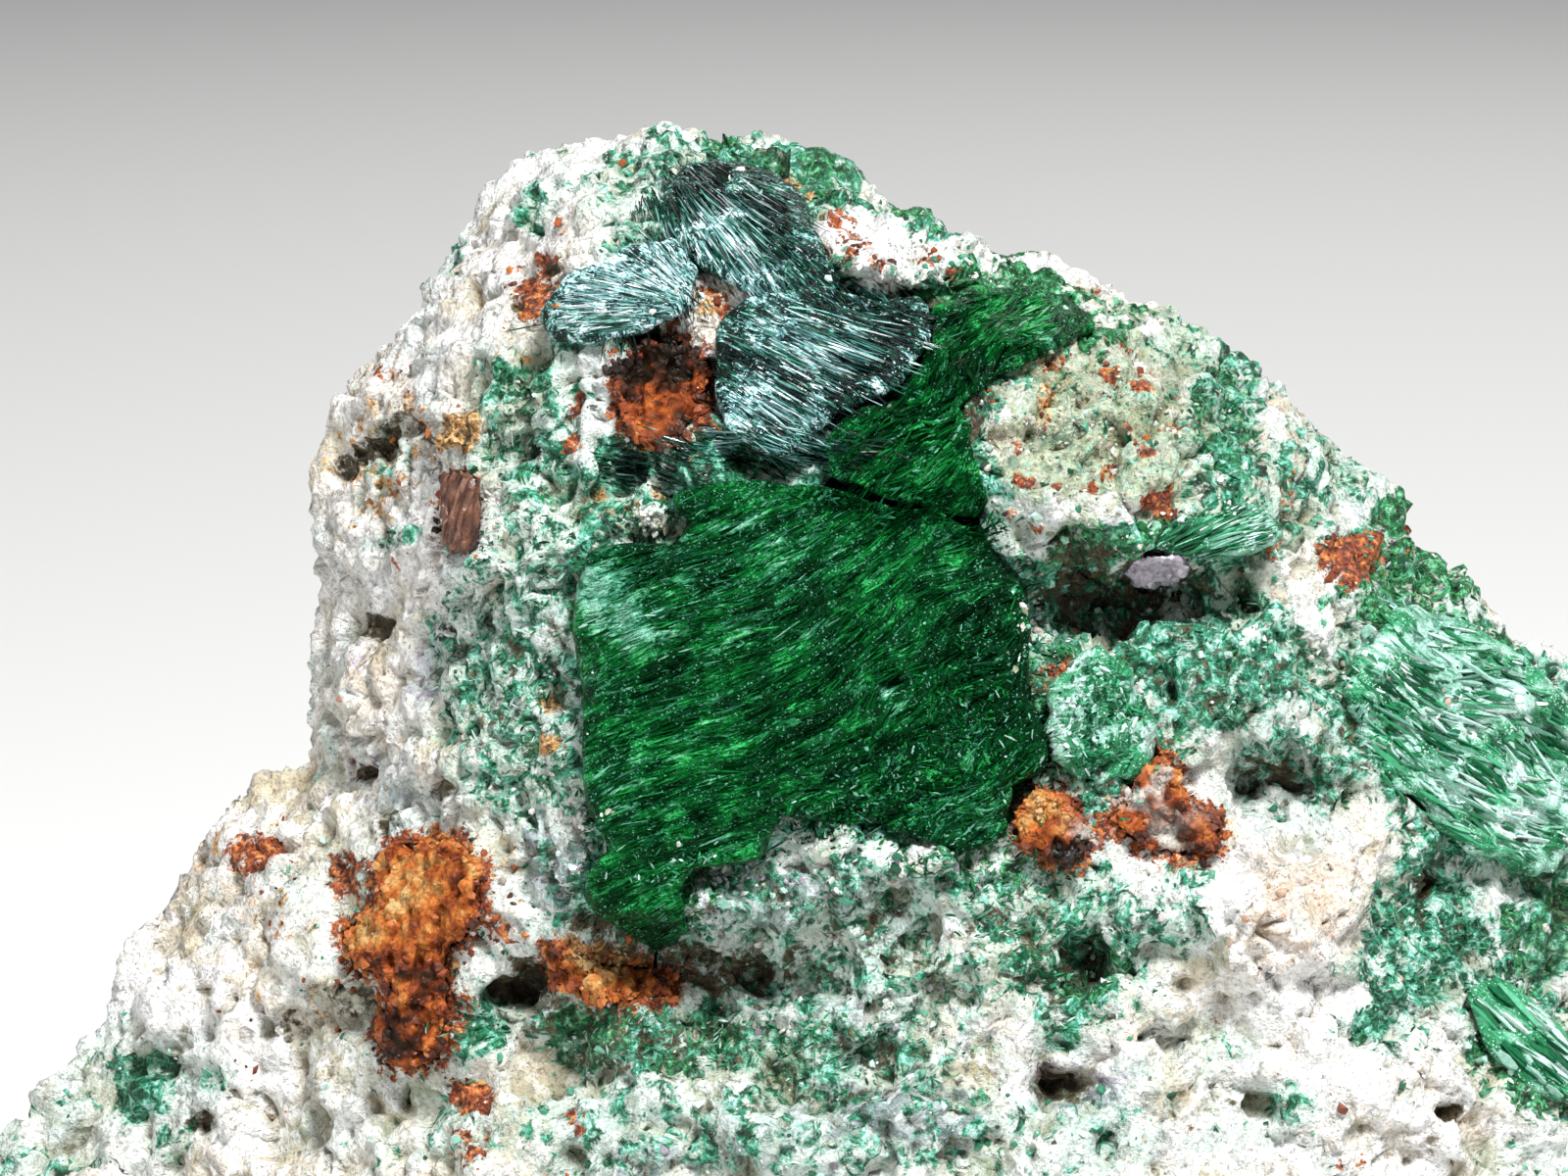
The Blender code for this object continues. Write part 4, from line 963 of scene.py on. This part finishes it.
def crystal_skin(node, flow, paint_of, surface, slot, roughness=0.06, widening=0.0):
    """A crystal group made from its CAD solid: a fine mesh, swollen a little and ridged along its fibres."""
    corners, triangles = welded(*mesh_arrays(node))
    corners, triangles = refined(corners, triangles,
                                 lambda middles, facing: np.where(facing > 0.1, SKIN_EDGE, 4 * SKIN_EDGE))
    corners = relaxed(corners, triangles, 2, 0.4)
    normals = normals_of(corners, triangles)
    places, heights = in_picture(corners)
    along, across = flow(places)
    fibres = np.column_stack([along * UNIT, across * UNIT, heights])
    depth = 0.5 * cloud(fibres * (0.14, 1, 0.6), 0.2, 63) + 0.9 * cloud(fibres * (0.25, 1, 0.6), 0.5, 64)
    depth += 0.8 * cloud(corners, 0.28, 65) + 1.6 * cloud(corners, 0.9, 66)
    outward = normals - (normals @ TOWARDS)[:, None] * TOWARDS
    corners = corners + normals * (SWELL + roughness * depth)[:, None] + outward * widening
    corners += UPWARDS * closing(places)[:, None] - TOWARDS * (0.4 * near_places(places, PIT))[:, None]
    corners[:, 2] = np.maximum(corners[:, 2], 0.02)
    piece = new_piece(node + "_skin", corners, triangles, surface, slot, True, flow=fibres,
                      paint=paint_of(places))
    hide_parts(node)
    return corners, triangles


GRAIN_CORNERS = np.array([(0, 1, 1.618), (0, -1, 1.618), (0, 1, -1.618), (0, -1, -1.618),
                          (1, 1.618, 0), (-1, 1.618, 0), (1, -1.618, 0), (-1, -1.618, 0),
                          (1.618, 0, 1), (1.618, 0, -1), (-1.618, 0, 1), (-1.618, 0, -1)]) / 1.902
GRAIN_FACES = np.array([(0, 1, 8), (0, 8, 4), (0, 4, 5), (0, 5, 10), (0, 10, 1), (3, 2, 11), (3, 11, 7),
                        (3, 7, 6), (3, 6, 9), (3, 9, 2), (1, 6, 8), (8, 9, 4), (4, 2, 5), (5, 11, 10),
                        (10, 7, 1), (6, 1, 7), (9, 8, 6), (2, 4, 9), (11, 5, 2), (7, 10, 11)])


def grain_pile(name, positions, normals, sizes, colors, surface, slot, sink=0.55):
    """Joined angular grains, each a closed solid half sunk where it sits."""
    number = len(positions)
    stretch = RANDOM.uniform(0.45, 1.35, (number, 1, 3))
    shapes = GRAIN_CORNERS[None] * RANDOM.uniform(0.5, 1.2, (number, 12, 1)) * stretch
    first = unit(RANDOM.normal(size=(number, 3)))
    second = unit(np.cross(first, RANDOM.normal(size=(number, 3))))
    third = np.cross(first, second)
    turned = (shapes[..., :1] * first[:, None] + shapes[..., 1:2] * second[:, None]
              + shapes[..., 2:] * third[:, None])
    middles = positions + normals * (sizes * (0.5 - sink) * 0.5)[:, None]
    corners = (middles[:, None] + turned * (sizes / 2)[:, None, None]).reshape(-1, 3)
    faces = (GRAIN_FACES[None] + 12 * np.arange(number)[:, None, None]).reshape(-1, 3)
    return new_piece(name, corners, faces, surface, slot, False, paint=np.repeat(colors, 12, axis=0))


def picture_cloud(places, size, salt):
    return cloud(np.column_stack([places, np.zeros(len(places))]), size, salt)


def near_places(places, *spots):
    """From 0 to 1 near the given picture places, each with its reach."""
    near = np.zeros(len(places))
    for px, py, reach in spots:
        near += np.exp(-((places[:, 0] - px) ** 2 + (places[:, 1] - py) ** 2) / reach ** 2)
    return np.clip(near, 0, 1)


def main_shade(places):
    """Brightness of the emerald and share of mint, darker to the lower right, mint to the upper left, with painted
    shade in a pit, a painted glint below it and a painted glow in the upper blades.
    """
    along, across = main_flow(places)
    shade = 0.32 + 0.16 * picture_cloud(places, 70.0, 51) + 0.2 * picture_cloud(places, 24.0, 52)
    shade += 0.16 * picture_cloud(places, 10.0, 58)
    shade += 0.24 * picture_cloud(np.column_stack([along * 0.16, across]), 9.0, 60)
    shade -= 0.14 * smooth_step(places[:, 0] + 0.5 * places[:, 1], 1100, 1400)
    # Brighter near these spots; the first two are a painted glow of light through the translucent upper blades.
    shade += 0.26 * near_places(places, (1050, 300, 50), (1010, 340, 34), (700, 930, 30), (900, 450, 70), (930, 480, 40))
    shade += 0.14 * near_places(places, (960, 800, 50), (880, 830, 50))
    # The tuft made brighter, and painted shade in the pit.
    shade += 0.36 * near_places(places, *TUFT) - 0.7 * near_places(places, PIT)
    # A painted glint just below the pit.
    shade += 0.5 * near_places(places, (904, 706, 6), (896, 703, 4))
    shade += 0.12 * near_places(places, (660, 800, 90), (700, 700, 70))
    pale = 0.02 + 0.9 * near_places(places, *TUFT)
    pale += 0.18 * near_places(places, (700, 560, 80), (790, 560, 60), (700, 640, 60), (980, 830, 60))
    pale += 0.30 * near_places(places, (640, 830, 40), (930, 840, 60), (640, 700, 30)) * 0.7
    # The painted glint below the pit made pale.
    pale += near_places(places, (904, 706, 6), (896, 703, 4))
    pale += 0.12 * picture_cloud(places, 40.0, 53) + 0.10 * picture_cloud(places, 12.0, 59)
    return np.column_stack([shade, pale, np.zeros(len(places))])


def silky_shade(*sheen_places, shaded_gaps=()):
    """Painted silver sheen near the given places, green away from them, and nearly black painted shade where the
    plates part.
    """
    def shade_of(places):
        near = near_places(places, *sheen_places)
        shade = 0.11 + 0.40 * near - 0.5 * near_places(places, *shaded_gaps) + 0.2 * picture_cloud(places, 18.0, 54)
        pale = 0.12 + 0.70 * near + 0.16 * picture_cloud(places, 30.0, 57)
        return np.column_stack([shade, pale, np.zeros(len(places))])
    return shade_of


def mixed_shade(shade, pale):
    """A mottle of deep green and mint."""
    def shade_of(places):
        return np.column_stack([shade + 0.2 * picture_cloud(places, 30.0, 55),
                                pale + 0.5 * picture_cloud(places, 22.0, 56), np.zeros(len(places))])
    return shade_of


def colors_from(shade_of, tones, pale_tones, scatter):
    """Blade colours that follow a group's paint, scattered from blade to blade."""
    def color_of(places):
        paint = shade_of(places)
        level = paint[:, 0] + RANDOM.normal(0, scatter, len(places))
        pale = (RANDOM.random(len(places)) < paint[:, 1])[:, None]
        return np.where(pale, blend_colors(level + 0.1, *pale_tones), blend_colors(level, *tones))
    return color_of


GREEN_TINT = (0.10, 1.0, 0.30)
PALE_TINT = (0.6, 1.0, 0.8)
SILVER_TINT = (0.8, 1.0, 1.0)
EMERALD_TONES = ((0.0002, 0.003, 0.001), (0.0005, 0.014, 0.003), (0.001, 0.040, 0.007),
                 (0.002, 0.085, 0.014), (0.006, 0.17, 0.028), (0.03, 0.36, 0.09))
MINT_TONES = ((0.001, 0.016, 0.008), (0.006, 0.07, 0.035), (0.03, 0.19, 0.10), (0.12, 0.38, 0.26), MINT)
SILKY_TONES = ((0.0006, 0.006, 0.004), (0.003, 0.03, 0.018), (0.010, 0.09, 0.05), (0.05, 0.30, 0.21),
               (0.22, 0.60, 0.50))
# Pale tones of the silky sprays: their painted silver sheen.
SILVER_SHEEN_TONES = ((0.002, 0.010, 0.011), (0.02, 0.08, 0.08), (0.15, 0.37, 0.38), SILVER_GREEN, SILVER,
                (0.92, 0.97, 1.0))
LEAFY_TONES = ((0.002, 0.03, 0.012), (0.008, 0.10, 0.04), (0.025, 0.23, 0.09), (0.08, 0.42, 0.22),
               (0.30, 0.62, 0.46))
# Pale greens of the right-hand blades, rising to white painted glints.
PALE_AND_GLINT_TONES = ((0.02, 0.10, 0.06), (0.12, 0.36, 0.25), (0.36, 0.64, 0.53), (0.66, 0.84, 0.80),
                (0.92, 0.97, 0.97))


def crystal_skins():
    """The crystal groups' own surfaces; returns them for the blades to lie on."""
    emerald = fibre_material("emerald_mat", EMERALD_TONES, MINT_TONES, (0.25, 0.65), 0.08, GREEN_TINT, 1.3)
    silky = fibre_material("silky_mat", SILKY_TONES, SILVER_SHEEN_TONES, (0.12, 0.5), 0.06, SILVER_TINT, 2.2)
    leafy = fibre_material("leafy_mat", LEAFY_TONES, PALE_AND_GLINT_TONES, (0.12, 0.5), 0.12, PALE_TINT, 0.55)
    green, grey = "emerald_szenicsite", "silky_szenicsite"
    return [crystal_skin("szenicsite_" + name, flow, shade, surface, slot, roughness, 0.12 * (slot == grey))
            for name, flow, shade, surface, slot, roughness in (
                ("main", main_flow, main_shade, emerald, green, 0.07),
                ("upper", parallel(40, 25, 60.0), main_shade, emerald, green, 0.09),
                ("fan_centre", FAN_CENTRE[0], FAN_CENTRE[1], silky, grey, 0.07),
                ("fan_upper", FAN_UPPER[0], FAN_UPPER[1], silky, grey, 0.07),
                ("fan_left", FAN_LEFT[0], FAN_LEFT[1], silky, grey, 0.07),
                ("spray_right", fanned(1130, 590, 100), mixed_shade(0.4, 0.2), leafy, green, 0.1),
                ("patch_right", parallel(55, 40, 40.0), mixed_shade(0.52, 0.40), leafy, green, 0.22),
                ("blades_right", parallel(-32, 15, 90.0), mixed_shade(0.55, 0.50), leafy, green, 0.16),
                ("blade_corner", parallel(-42, 5), mixed_shade(0.45, 0.1), leafy, green, 0.06))]


# Each fan's flow and paint: painted silver sheen at the listed spots, and in the centre fan painted shade where its
# plates part.
FAN_CENTRE = (fanned(440, 190, 380),
              silky_shade((786, 338, 30), (832, 362, 24), (775, 405, 28), (832, 425, 24), (748, 425, 20),
                          (902, 396, 15), (924, 368, 11), (940, 346, 9), (870, 335, 12),
                          shaded_gaps=((866, 388, 15), (890, 374, 12), (846, 398, 10), (912, 322, 16), (808, 388, 9),
                                (780, 372, 10), (905, 345, 10))))
FAN_UPPER = (fanned(640, 120, 150), silky_shade((704, 246, 30), (765, 285, 28), (800, 312, 16), (738, 215, 24)))
FAN_LEFT = (fanned(730, 318, 90), silky_shade((660, 285, 46), (605, 318, 42), (620, 270, 34), (690, 300, 24)))


def crystal_pieces():
    emerald = painted_material("emerald_blades", (0.2, 0.5), 0.4, Specular_IOR_Level=0.22,
                               Specular_Tint=(*GREEN_TINT, 1))
    bright = painted_material("leafy_blades", (0.15, 0.5), 0.3, Specular_IOR_Level=0.5,
                              Specular_Tint=(*PALE_TINT, 1))
    silky = painted_material("silky_fibres", (0.12, 0.4), 0.3, Specular_IOR_Level=0.6)
    green, grey = "emerald_szenicsite", "silky_szenicsite"
    emeralds = colors_from(main_shade, EMERALD_TONES, MINT_TONES, 0.2)
    pale_and_glinting = colors_from(mixed_shade(0.45, 0.42), LEAFY_TONES, PALE_AND_GLINT_TONES, 0.2)
    leafy = colors_from(mixed_shade(0.45, 0.25), LEAFY_TONES, PALE_AND_GLINT_TONES, 0.2)
    blade_group("main_blades", "szenicsite_main", 8500, main_flow, (0.1, 0.85), (0.02, 0.06),
                (-0.02, 0.03), emeralds, emerald, green, rise=0.04, sway=7, stray=9.0, loose=0.15)
    blade_group("main_strays", "szenicsite_main", 1900, main_flow, (0.08, 0.4), (0.02, 0.07),
                (-0.02, 0.05), emeralds, emerald, green, rise=0.1, sway=24, stray=26.0, loose=1.0)
    # Granular blades of deep green and mint; the mint ones partly stand in for painted glints.
    blade_field("main_granular", [(930, 800, 90, 50), (990, 720, 40, 80), (860, 835, 80, 30)], 1300,
                parallel(35, 60, 18.0), (0.06, 0.22), (0.03, 0.09), (-0.02, 0.05),
                colors_from(mixed_shade(0.40, 0.26), EMERALD_TONES, MINT_TONES, 0.32), emerald, green,
                rise=0.4, tip=0.5, sway=50)
    blade_group("upper_blades", "szenicsite_upper", 3200, parallel(40, 25, 60.0), (0.12, 0.8),
                (0.03, 0.09), (-0.01, 0.06), emeralds, emerald, green, rise=0.12, sway=14)
    blade_field("seam_blades", [(870, 508, 60, 9), (930, 524, 50, 9), (985, 541, 30, 10)], 560, parallel(20, 30, 40.0),
                (0.1, 0.4), (0.03, 0.08), (0.05, 0.30), colors_from(mixed_shade(0.2, 0.02), EMERALD_TONES,
                                                                    MINT_TONES, 0.15),
                emerald, green, rise=0.3, sway=30)
    for name, node, count, (flow, shade) in (("fan_centre_fibres", "szenicsite_fan_centre", 3000, FAN_CENTRE),
                                             ("fan_upper_fibres", "szenicsite_fan_upper", 2400, FAN_UPPER),
                                             ("fan_left_fibres", "szenicsite_fan_left", 2000, FAN_LEFT)):
        blade_group(name, node, count, flow, (0.2, 1.4), (0.02, 0.065), (-0.02, 0.04),
                    colors_from(shade, SILKY_TONES, SILVER_SHEEN_TONES, 0.34), silky, grey, rise=0.03, sway=4, stray=9.0,
                    loose=0.12)
        blade_group(name + "_astray", node, count // 5, flow, (0.12, 0.5), (0.02, 0.06), (-0.01, 0.04),
                    colors_from(shade, SILKY_TONES, SILVER_SHEEN_TONES, 0.3), silky, grey, rise=0.03, sway=8,
                    stray=15.0, loose=0.2)
    blade_group("spray_right_blades", "szenicsite_spray_right", 900, fanned(1130, 590, 100), (0.3, 1.1),
                (0.04, 0.10), (-0.02, 0.06), leafy, bright, green, rise=0.15)
    blade_group("patch_right_blades", "szenicsite_patch_right", 700, parallel(55, 40, 40.0), (0.08, 0.3),
                (0.05, 0.14), (-0.03, 0.06), pale_and_glinting, bright, green, rise=0.4, tip=0.6, sway=60)
    blade_group("right_cluster_blades", "szenicsite_blades_right", 1100, parallel(-32, 15, 90.0),
                (0.2, 1.3), (0.05, 0.18), (-0.04, 0.10), pale_and_glinting, bright, green, rise=0.12, tip=0.4, sway=12,
                stray=14)
    blade_group("corner_blades", "szenicsite_blade_corner", 160, parallel(-42, 5), (0.8, 2.2),
                (0.1, 0.3), (-0.04, 0.12), leafy, bright, green, rise=0.1, tip=0.4)
    # Silk fibres between the fans, with painted silver sheen near these spots.
    between = colors_from(silky_shade((690, 262, 36), (800, 448, 26), (730, 442, 20)), SILKY_TONES,
                          SILVER_SHEEN_TONES, 0.2)
    blade_field("silk_low", [(745, 456, 100, 24), (650, 478, 50, 20), (840, 456, 56, 20)], 1100,
                parallel(-17, 12, 50.0), (0.15, 0.8), (0.02, 0.06), (0.0, 0.05), between, silky, grey, sway=8)
    blade_field("silk_high", [(700, 300, 18, 18), (715, 185, 50, 26), (860, 300, 50, 14), (645, 342, 30, 8), (680, 205, 30, 40)],
                900, FAN_UPPER[0], (0.15, 0.7), (0.02, 0.06), (0.0, 0.05), between, silky, grey, sway=10)
    blade_field("green_sprigs", [(525, 386, 44, 22), (540, 450, 50, 80), (545, 570, 46, 80),
                                 (515, 700, 70, 70), (540, 790, 60, 40),
                                 (1250, 430, 34, 90), (1110, 740, 80, 80), (1215, 645, 80, 40),
                                 (1440, 590, 60, 50), (1390, 760, 60, 70), (1000, 890, 100, 40),
                                 (1060, 940, 100, 70), (1105, 1000, 50, 60), (820, 1070, 160, 40),
                                 (640, 1055, 110, 36), (490, 1050, 46, 30), (770, 180, 56, 26),
                                 (925, 205, 80, 22), (690, 895, 60, 40), (1450, 950, 60, 100)],
                2400, parallel(35, 50, 26.0), (0.08, 0.35), (0.03, 0.09), (-0.02, 0.04), leafy, emerald,
                green, rise=0.3, tip=0.3, sway=30)


def crust_tone(places, positions):
    """Rust from 0, nearly black, through red brown and orange to 1, golden ochre."""
    tone = 0.38 + 0.26 * cloud(positions, 0.7, 71) + 0.34 * cloud(positions, 0.26, 72)
    for px, py, size, change in RUST_TONES:
        near = np.exp(-((places[:, 0] - px) ** 2 + (places[:, 1] - py) ** 2) / size ** 2)
        tone += change * near
    return tone


def crust_colors(places, positions):
    """Rust colours, with bare pale rock between the plates."""
    bare = near_places(places, (1200, 800, 30), (1152, 806, 20), (1118, 858, 24), (1190, 858, 14))
    bare = (bare * smooth_step(cloud(positions, 0.55, 89), -0.1, 0.15))[:, None]
    rust = blend_colors(crust_tone(places, positions), (0.010, 0.004, 0.002), (0.07, 0.016, 0.006),
                        (0.30, 0.06, 0.014), (0.56, 0.16, 0.03), (0.60, 0.30, 0.09), (0.70, 0.46, 0.20))
    return rust * (1 - bare) + np.array((0.62, 0.59, 0.53)) * bare


def crust_piece(name, node, surface, slot):
    """A crumpled iron oxide crust made from its CAD solid."""
    corners, triangles = welded(*mesh_arrays(node))
    corners, triangles = refined(corners, triangles, lambda middles, facing: np.where(facing > 0, 0.12, 0.4))
    corners = relaxed(corners, triangles, 3, 0.5)
    normals = normals_of(corners, triangles)
    grains, number = grain_field(corners, 0.3, 81)
    depth = 0.16 * cloud(corners, 0.7, 82) + 0.14 * cloud(corners, 0.28, 83)
    depth += 0.22 * (0.5 - grains) * (0.4 + number) - 0.22 * smooth_step(cloud(corners, 0.4, 84), 0.3, 0.7)
    corners = corners + normals * depth[:, None]
    places, _ = in_picture(corners)
    piece = new_piece(name, corners, triangles, surface, slot, False, paint=crust_colors(places, corners))
    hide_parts(node)
    return corners, triangles


def crust_pieces():
    surface = painted_material("iron_oxide", (0.45, 0.85), 0.6, Specular_IOR_Level=0.25,
                               Specular_Tint=(1.0, 0.8, 0.6, 1))
    slots = {"iron_oxide_pocket": "ochre_crust", "iron_oxide_crust_left": "ochre_crust"}
    return [crust_piece(node + "_crust", node, surface, slots.get(node, "rust_crust"))
            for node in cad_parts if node.startswith("iron_oxide")]


def edge_places(count):
    """Picture places along the edges of the CAD crystal groups and crusts."""
    chosen = []
    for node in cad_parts:
        if node != "matrix":
            tree, box = tree_of(*mesh_arrays(node)), box_of(node)
            around = (box[0] - 16, box[1] - 16, box[2] + 16, box[3] + 16)
            share = int(count * ((box[2] - box[0]) + (box[3] - box[1])) / 100)
            places = np.column_stack([spread(around[0], around[2], share), spread(around[1], around[3], share)])
            shifted = places + RANDOM.normal(0, 9, places.shape)
            chosen.append(places[struck(tree, places)[0] != struck(tree, shifted)[0]])
    return np.vstack(chosen)


def grain_pieces(tree, rust_tree, skin_tree):
    """Grains that stand on the rock, the crusts and along the crystals, coloured by what lies there."""
    clusters = [np.column_stack([px + half_width * RANDOM.normal(0, 0.55, count),
                                 py + half_height * RANDOM.normal(0, 0.55, count)])
                for px, py, half_width, half_height, count in GRAIN_CLUSTERS]
    chance = np.zeros(11000 + sum(len(places) for places in clusters))
    chance[11000:] = 0.6
    places = np.vstack([np.column_stack([spread(-20, 1640, 11000), spread(100, 1230, 11000)])] + clusters)
    edges = edge_places(1500)
    places, chance = np.vstack([places, edges]), np.append(chance, np.full(len(edges), 0.10))
    found, positions, normals = struck(tree, places)
    places, positions, normals, chance = (rows[found] for rows in (places, positions, normals, chance))
    number = len(places)
    layers = front_paint(places, np.zeros(number), positions, normals @ TOWARDS)
    on_crust = nearness(rust_tree, positions, 0.5) > 0.5
    covered = (nearness(skin_tree, positions, 0.3) > 0.7) & (RANDOM.random(number) > 0.2 * (chance > 0.5))
    layers[:, 0] *= ~on_crust
    layers[:, 1] = np.maximum(layers[:, 1], 0.85 * on_crust)
    green, rust, shade_and_stain, ochre, lavender, sage, peach, white, emerald = layers.T
    is_green = ~covered & (RANDOM.random(number) < green * 0.5)
    is_rust = ~covered & ~is_green & (RANDOM.random(number) < np.maximum(rust, ochre * 0.7) * 0.9)
    is_pale = ~covered & ~is_green & ~is_rust & (RANDOM.random(number) < 0.05 + 0.2 * sage + chance) & (shade_and_stain < 0.3) & ~on_crust
    share = RANDOM.random(number)
    tints = blend_colors(share, (0.24, 0.21, 0.15), (0.52, 0.47, 0.39), (0.66, 0.66, 0.62), (0.80, 0.79, 0.76))
    for amount, row in ((sage, ((0.22, 0.23, 0.13), SAGE, (0.66, 0.64, 0.54))),
                        (lavender, ((0.07, 0.04, 0.06), LAVENDER, (0.62, 0.60, 0.68))),
                        (peach, ((0.44, 0.22, 0.13), PEACH, (0.78, 0.66, 0.56))),
                        (white, ((0.6, 0.58, 0.54), (0.8, 0.79, 0.77)))):
        tints = np.where((RANDOM.random(number) < amount)[:, None], blend_colors(share, *row), tints)
    greens = blend_colors(share, (0.002, 0.03, 0.014), (0.010, 0.14, 0.06), (0.06, 0.32, 0.19),
                          (0.26, 0.56, 0.43), (0.60, 0.80, 0.73), (0.85, 0.92, 0.90))
    emeralds = blend_colors(share, (0.001, 0.02, 0.006), (0.005, 0.10, 0.025), (0.02, 0.26, 0.08),
                            (0.10, 0.46, 0.24), (0.50, 0.78, 0.62))
    greens = np.where((RANDOM.random(number) < emerald)[:, None], emeralds, greens)
    kinds = (("pale_grains", is_pale, (0.07, 0.30), tints, "rock", (0.25, 0.8)),
             ("green_grains", is_green, (0.09, 0.34), greens, "rock", (0.15, 0.6)),
             ("rust_grains", is_rust, (0.10, 0.34), crust_colors(places, positions), "rust_crust",
              (0.4, 0.85)))
    for name, chosen, sizes, colors, slot, roughness in kinds:
        surface = painted_material(name, roughness, 0.45)
        size = sizes[0] + (sizes[1] - sizes[0]) * RANDOM.random(chosen.sum()) ** 2.5
        grain_pile(name, positions[chosen], normals[chosen], size, colors[chosen], surface, slot)


def prism_piece(name, node, surface, slot, row):
    """A single crystal made from its CAD solid, striated along its length."""
    corners, triangles = welded(*mesh_arrays(node))
    corners, triangles = refined(corners, triangles, lambda middles, facing: np.where(facing > 0, 0.1, 0.3))
    corners = relaxed(corners, triangles, 2, 0.4)
    stretched = corners * (1.0, 1.0, 0.12)
    depth = 0.12 * cloud(stretched, 0.12, 85) + 0.06 * cloud(corners, 0.3, 86)
    shares = 0.42 + 0.55 * cloud(stretched, 0.13, 87) + 0.3 * cloud(corners, 0.5, 88)
    corners = corners + normals_of(corners, triangles) * depth[:, None]
    piece = new_piece(name, corners, triangles, surface, slot, False, paint=blend_colors(shares, *row))
    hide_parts(node)


def single_crystals():
    brown = painted_material("brown_mineral", (0.25, 0.5), 0.4)
    quartz = painted_material("quartz", (0.08, 0.3), 0.3)
    prism_piece("brown_bar", "brown_prism", brown, "brown_mineral",
                ((0.03, 0.010, 0.006), (0.12, 0.045, 0.025), (0.22, 0.10, 0.06), (0.46, 0.30, 0.20)))
    prism_piece("quartz_lump", "quartz_grain", quartz, "quartz",
                ((0.30, 0.25, 0.31), (0.56, 0.49, 0.57), (0.80, 0.75, 0.81)))


def dress(thing, surface):
    """Gives a CAD node that stays in view its finish."""
    thing.data.materials.clear()
    thing.data.materials.append(surface)


def stage_and_light():
    bpy.ops.mesh.primitive_plane_add(size=6.0, location=(0, 0, 0))
    floor = bpy.context.object
    floor.name = "floor"
    look = Surface("pale_floor")
    look.set(Base_Color=(0.72, 0.72, 0.71, 1), Roughness=0.8)
    floor.data.materials.append(look.material)
    floor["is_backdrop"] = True
    world = bpy.data.worlds.new("studio")
    world.use_nodes = True
    world.node_tree.nodes["Background"].inputs["Color"].default_value = (0.86, 0.87, 0.88, 1)
    world.node_tree.nodes["Background"].inputs["Strength"].default_value = 0.21
    bpy.context.scene.world = world
    middle = Vector(MIDDLE * MM)
    for name, place, size, power in (("key", (0.06, -0.15, 0.25), 0.07, 1.45),
                                     ("fill", (-0.24, -0.20, 0.10), 0.20, 0.25),
                                     ("rim", (0.05, 0.22, 0.22), 0.16, 0.25)):
        lamp = bpy.data.lights.new(name, "AREA")
        lamp.size = size
        lamp.energy = power
        holder = bpy.data.objects.new(name, lamp)
        holder.location = place
        holder.rotation_euler = (middle - Vector(place)).to_track_quat("-Z", "Y").to_euler()
        bpy.context.scene.collection.objects.link(holder)


def camera():
    data = bpy.data.cameras.new("camera")
    data.sensor_width = SENSOR_MM
    data.lens = SENSOR_MM * EYE_MM / PICTURE_MM
    data.clip_start = 0.005
    data.clip_end = 20
    holder = bpy.data.objects.new("camera", data)
    holder.location = Vector(EYE * MM)
    holder.rotation_euler = Vector(-TOWARDS).to_track_quat("-Z", "Y").to_euler()
    bpy.context.scene.collection.objects.link(holder)
    bpy.context.scene.camera = holder


def write_sizes():
    boxes = {"cad": CAD_BOX, "visual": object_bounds()}
    plain = {name: [list(corner) for corner in box] for name, box in boxes.items()}


def joined(surfaces):
    """Several surfaces as one list of corners and triangles."""
    starts = np.cumsum([0] + [len(corners) for corners, _ in surfaces[:-1]])
    return (np.vstack([corners for corners, _ in surfaces]),
            np.vstack([triangles + start for (_, triangles), start in zip(surfaces, starts)]))


camera()
stage_and_light()
bpy.context.scene.view_settings.view_transform = "Standard"
bpy.context.scene.cycles.diffuse_bounces = 2
def solids(*starts):
    """The CAD solids whose names start in one of the given ways, as one surface."""
    return joined([mesh_arrays(node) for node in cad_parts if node.startswith(starts)])


crystals = solids("szenicsite", "iron", "brown", "quartz")
greens = tree_of(*solids("szenicsite_main", "szenicsite_upper", "szenicsite_patch", "szenicsite_spray",
                         "szenicsite_blade"))
rock = rock_surface(tree_of(*crystals), greens, tree_of(*solids("iron")))
skins = crystal_skins()
FRONT = tree_of(*joined([rock] + skins + [solids("iron", "brown", "quartz")]))
crystal_pieces()
crusts = crust_pieces()
single_crystals()
grain_pieces(tree_of(*joined([rock] + skins + crusts)), tree_of(*joined(crusts)), tree_of(*joined(skins)))
write_sizes()
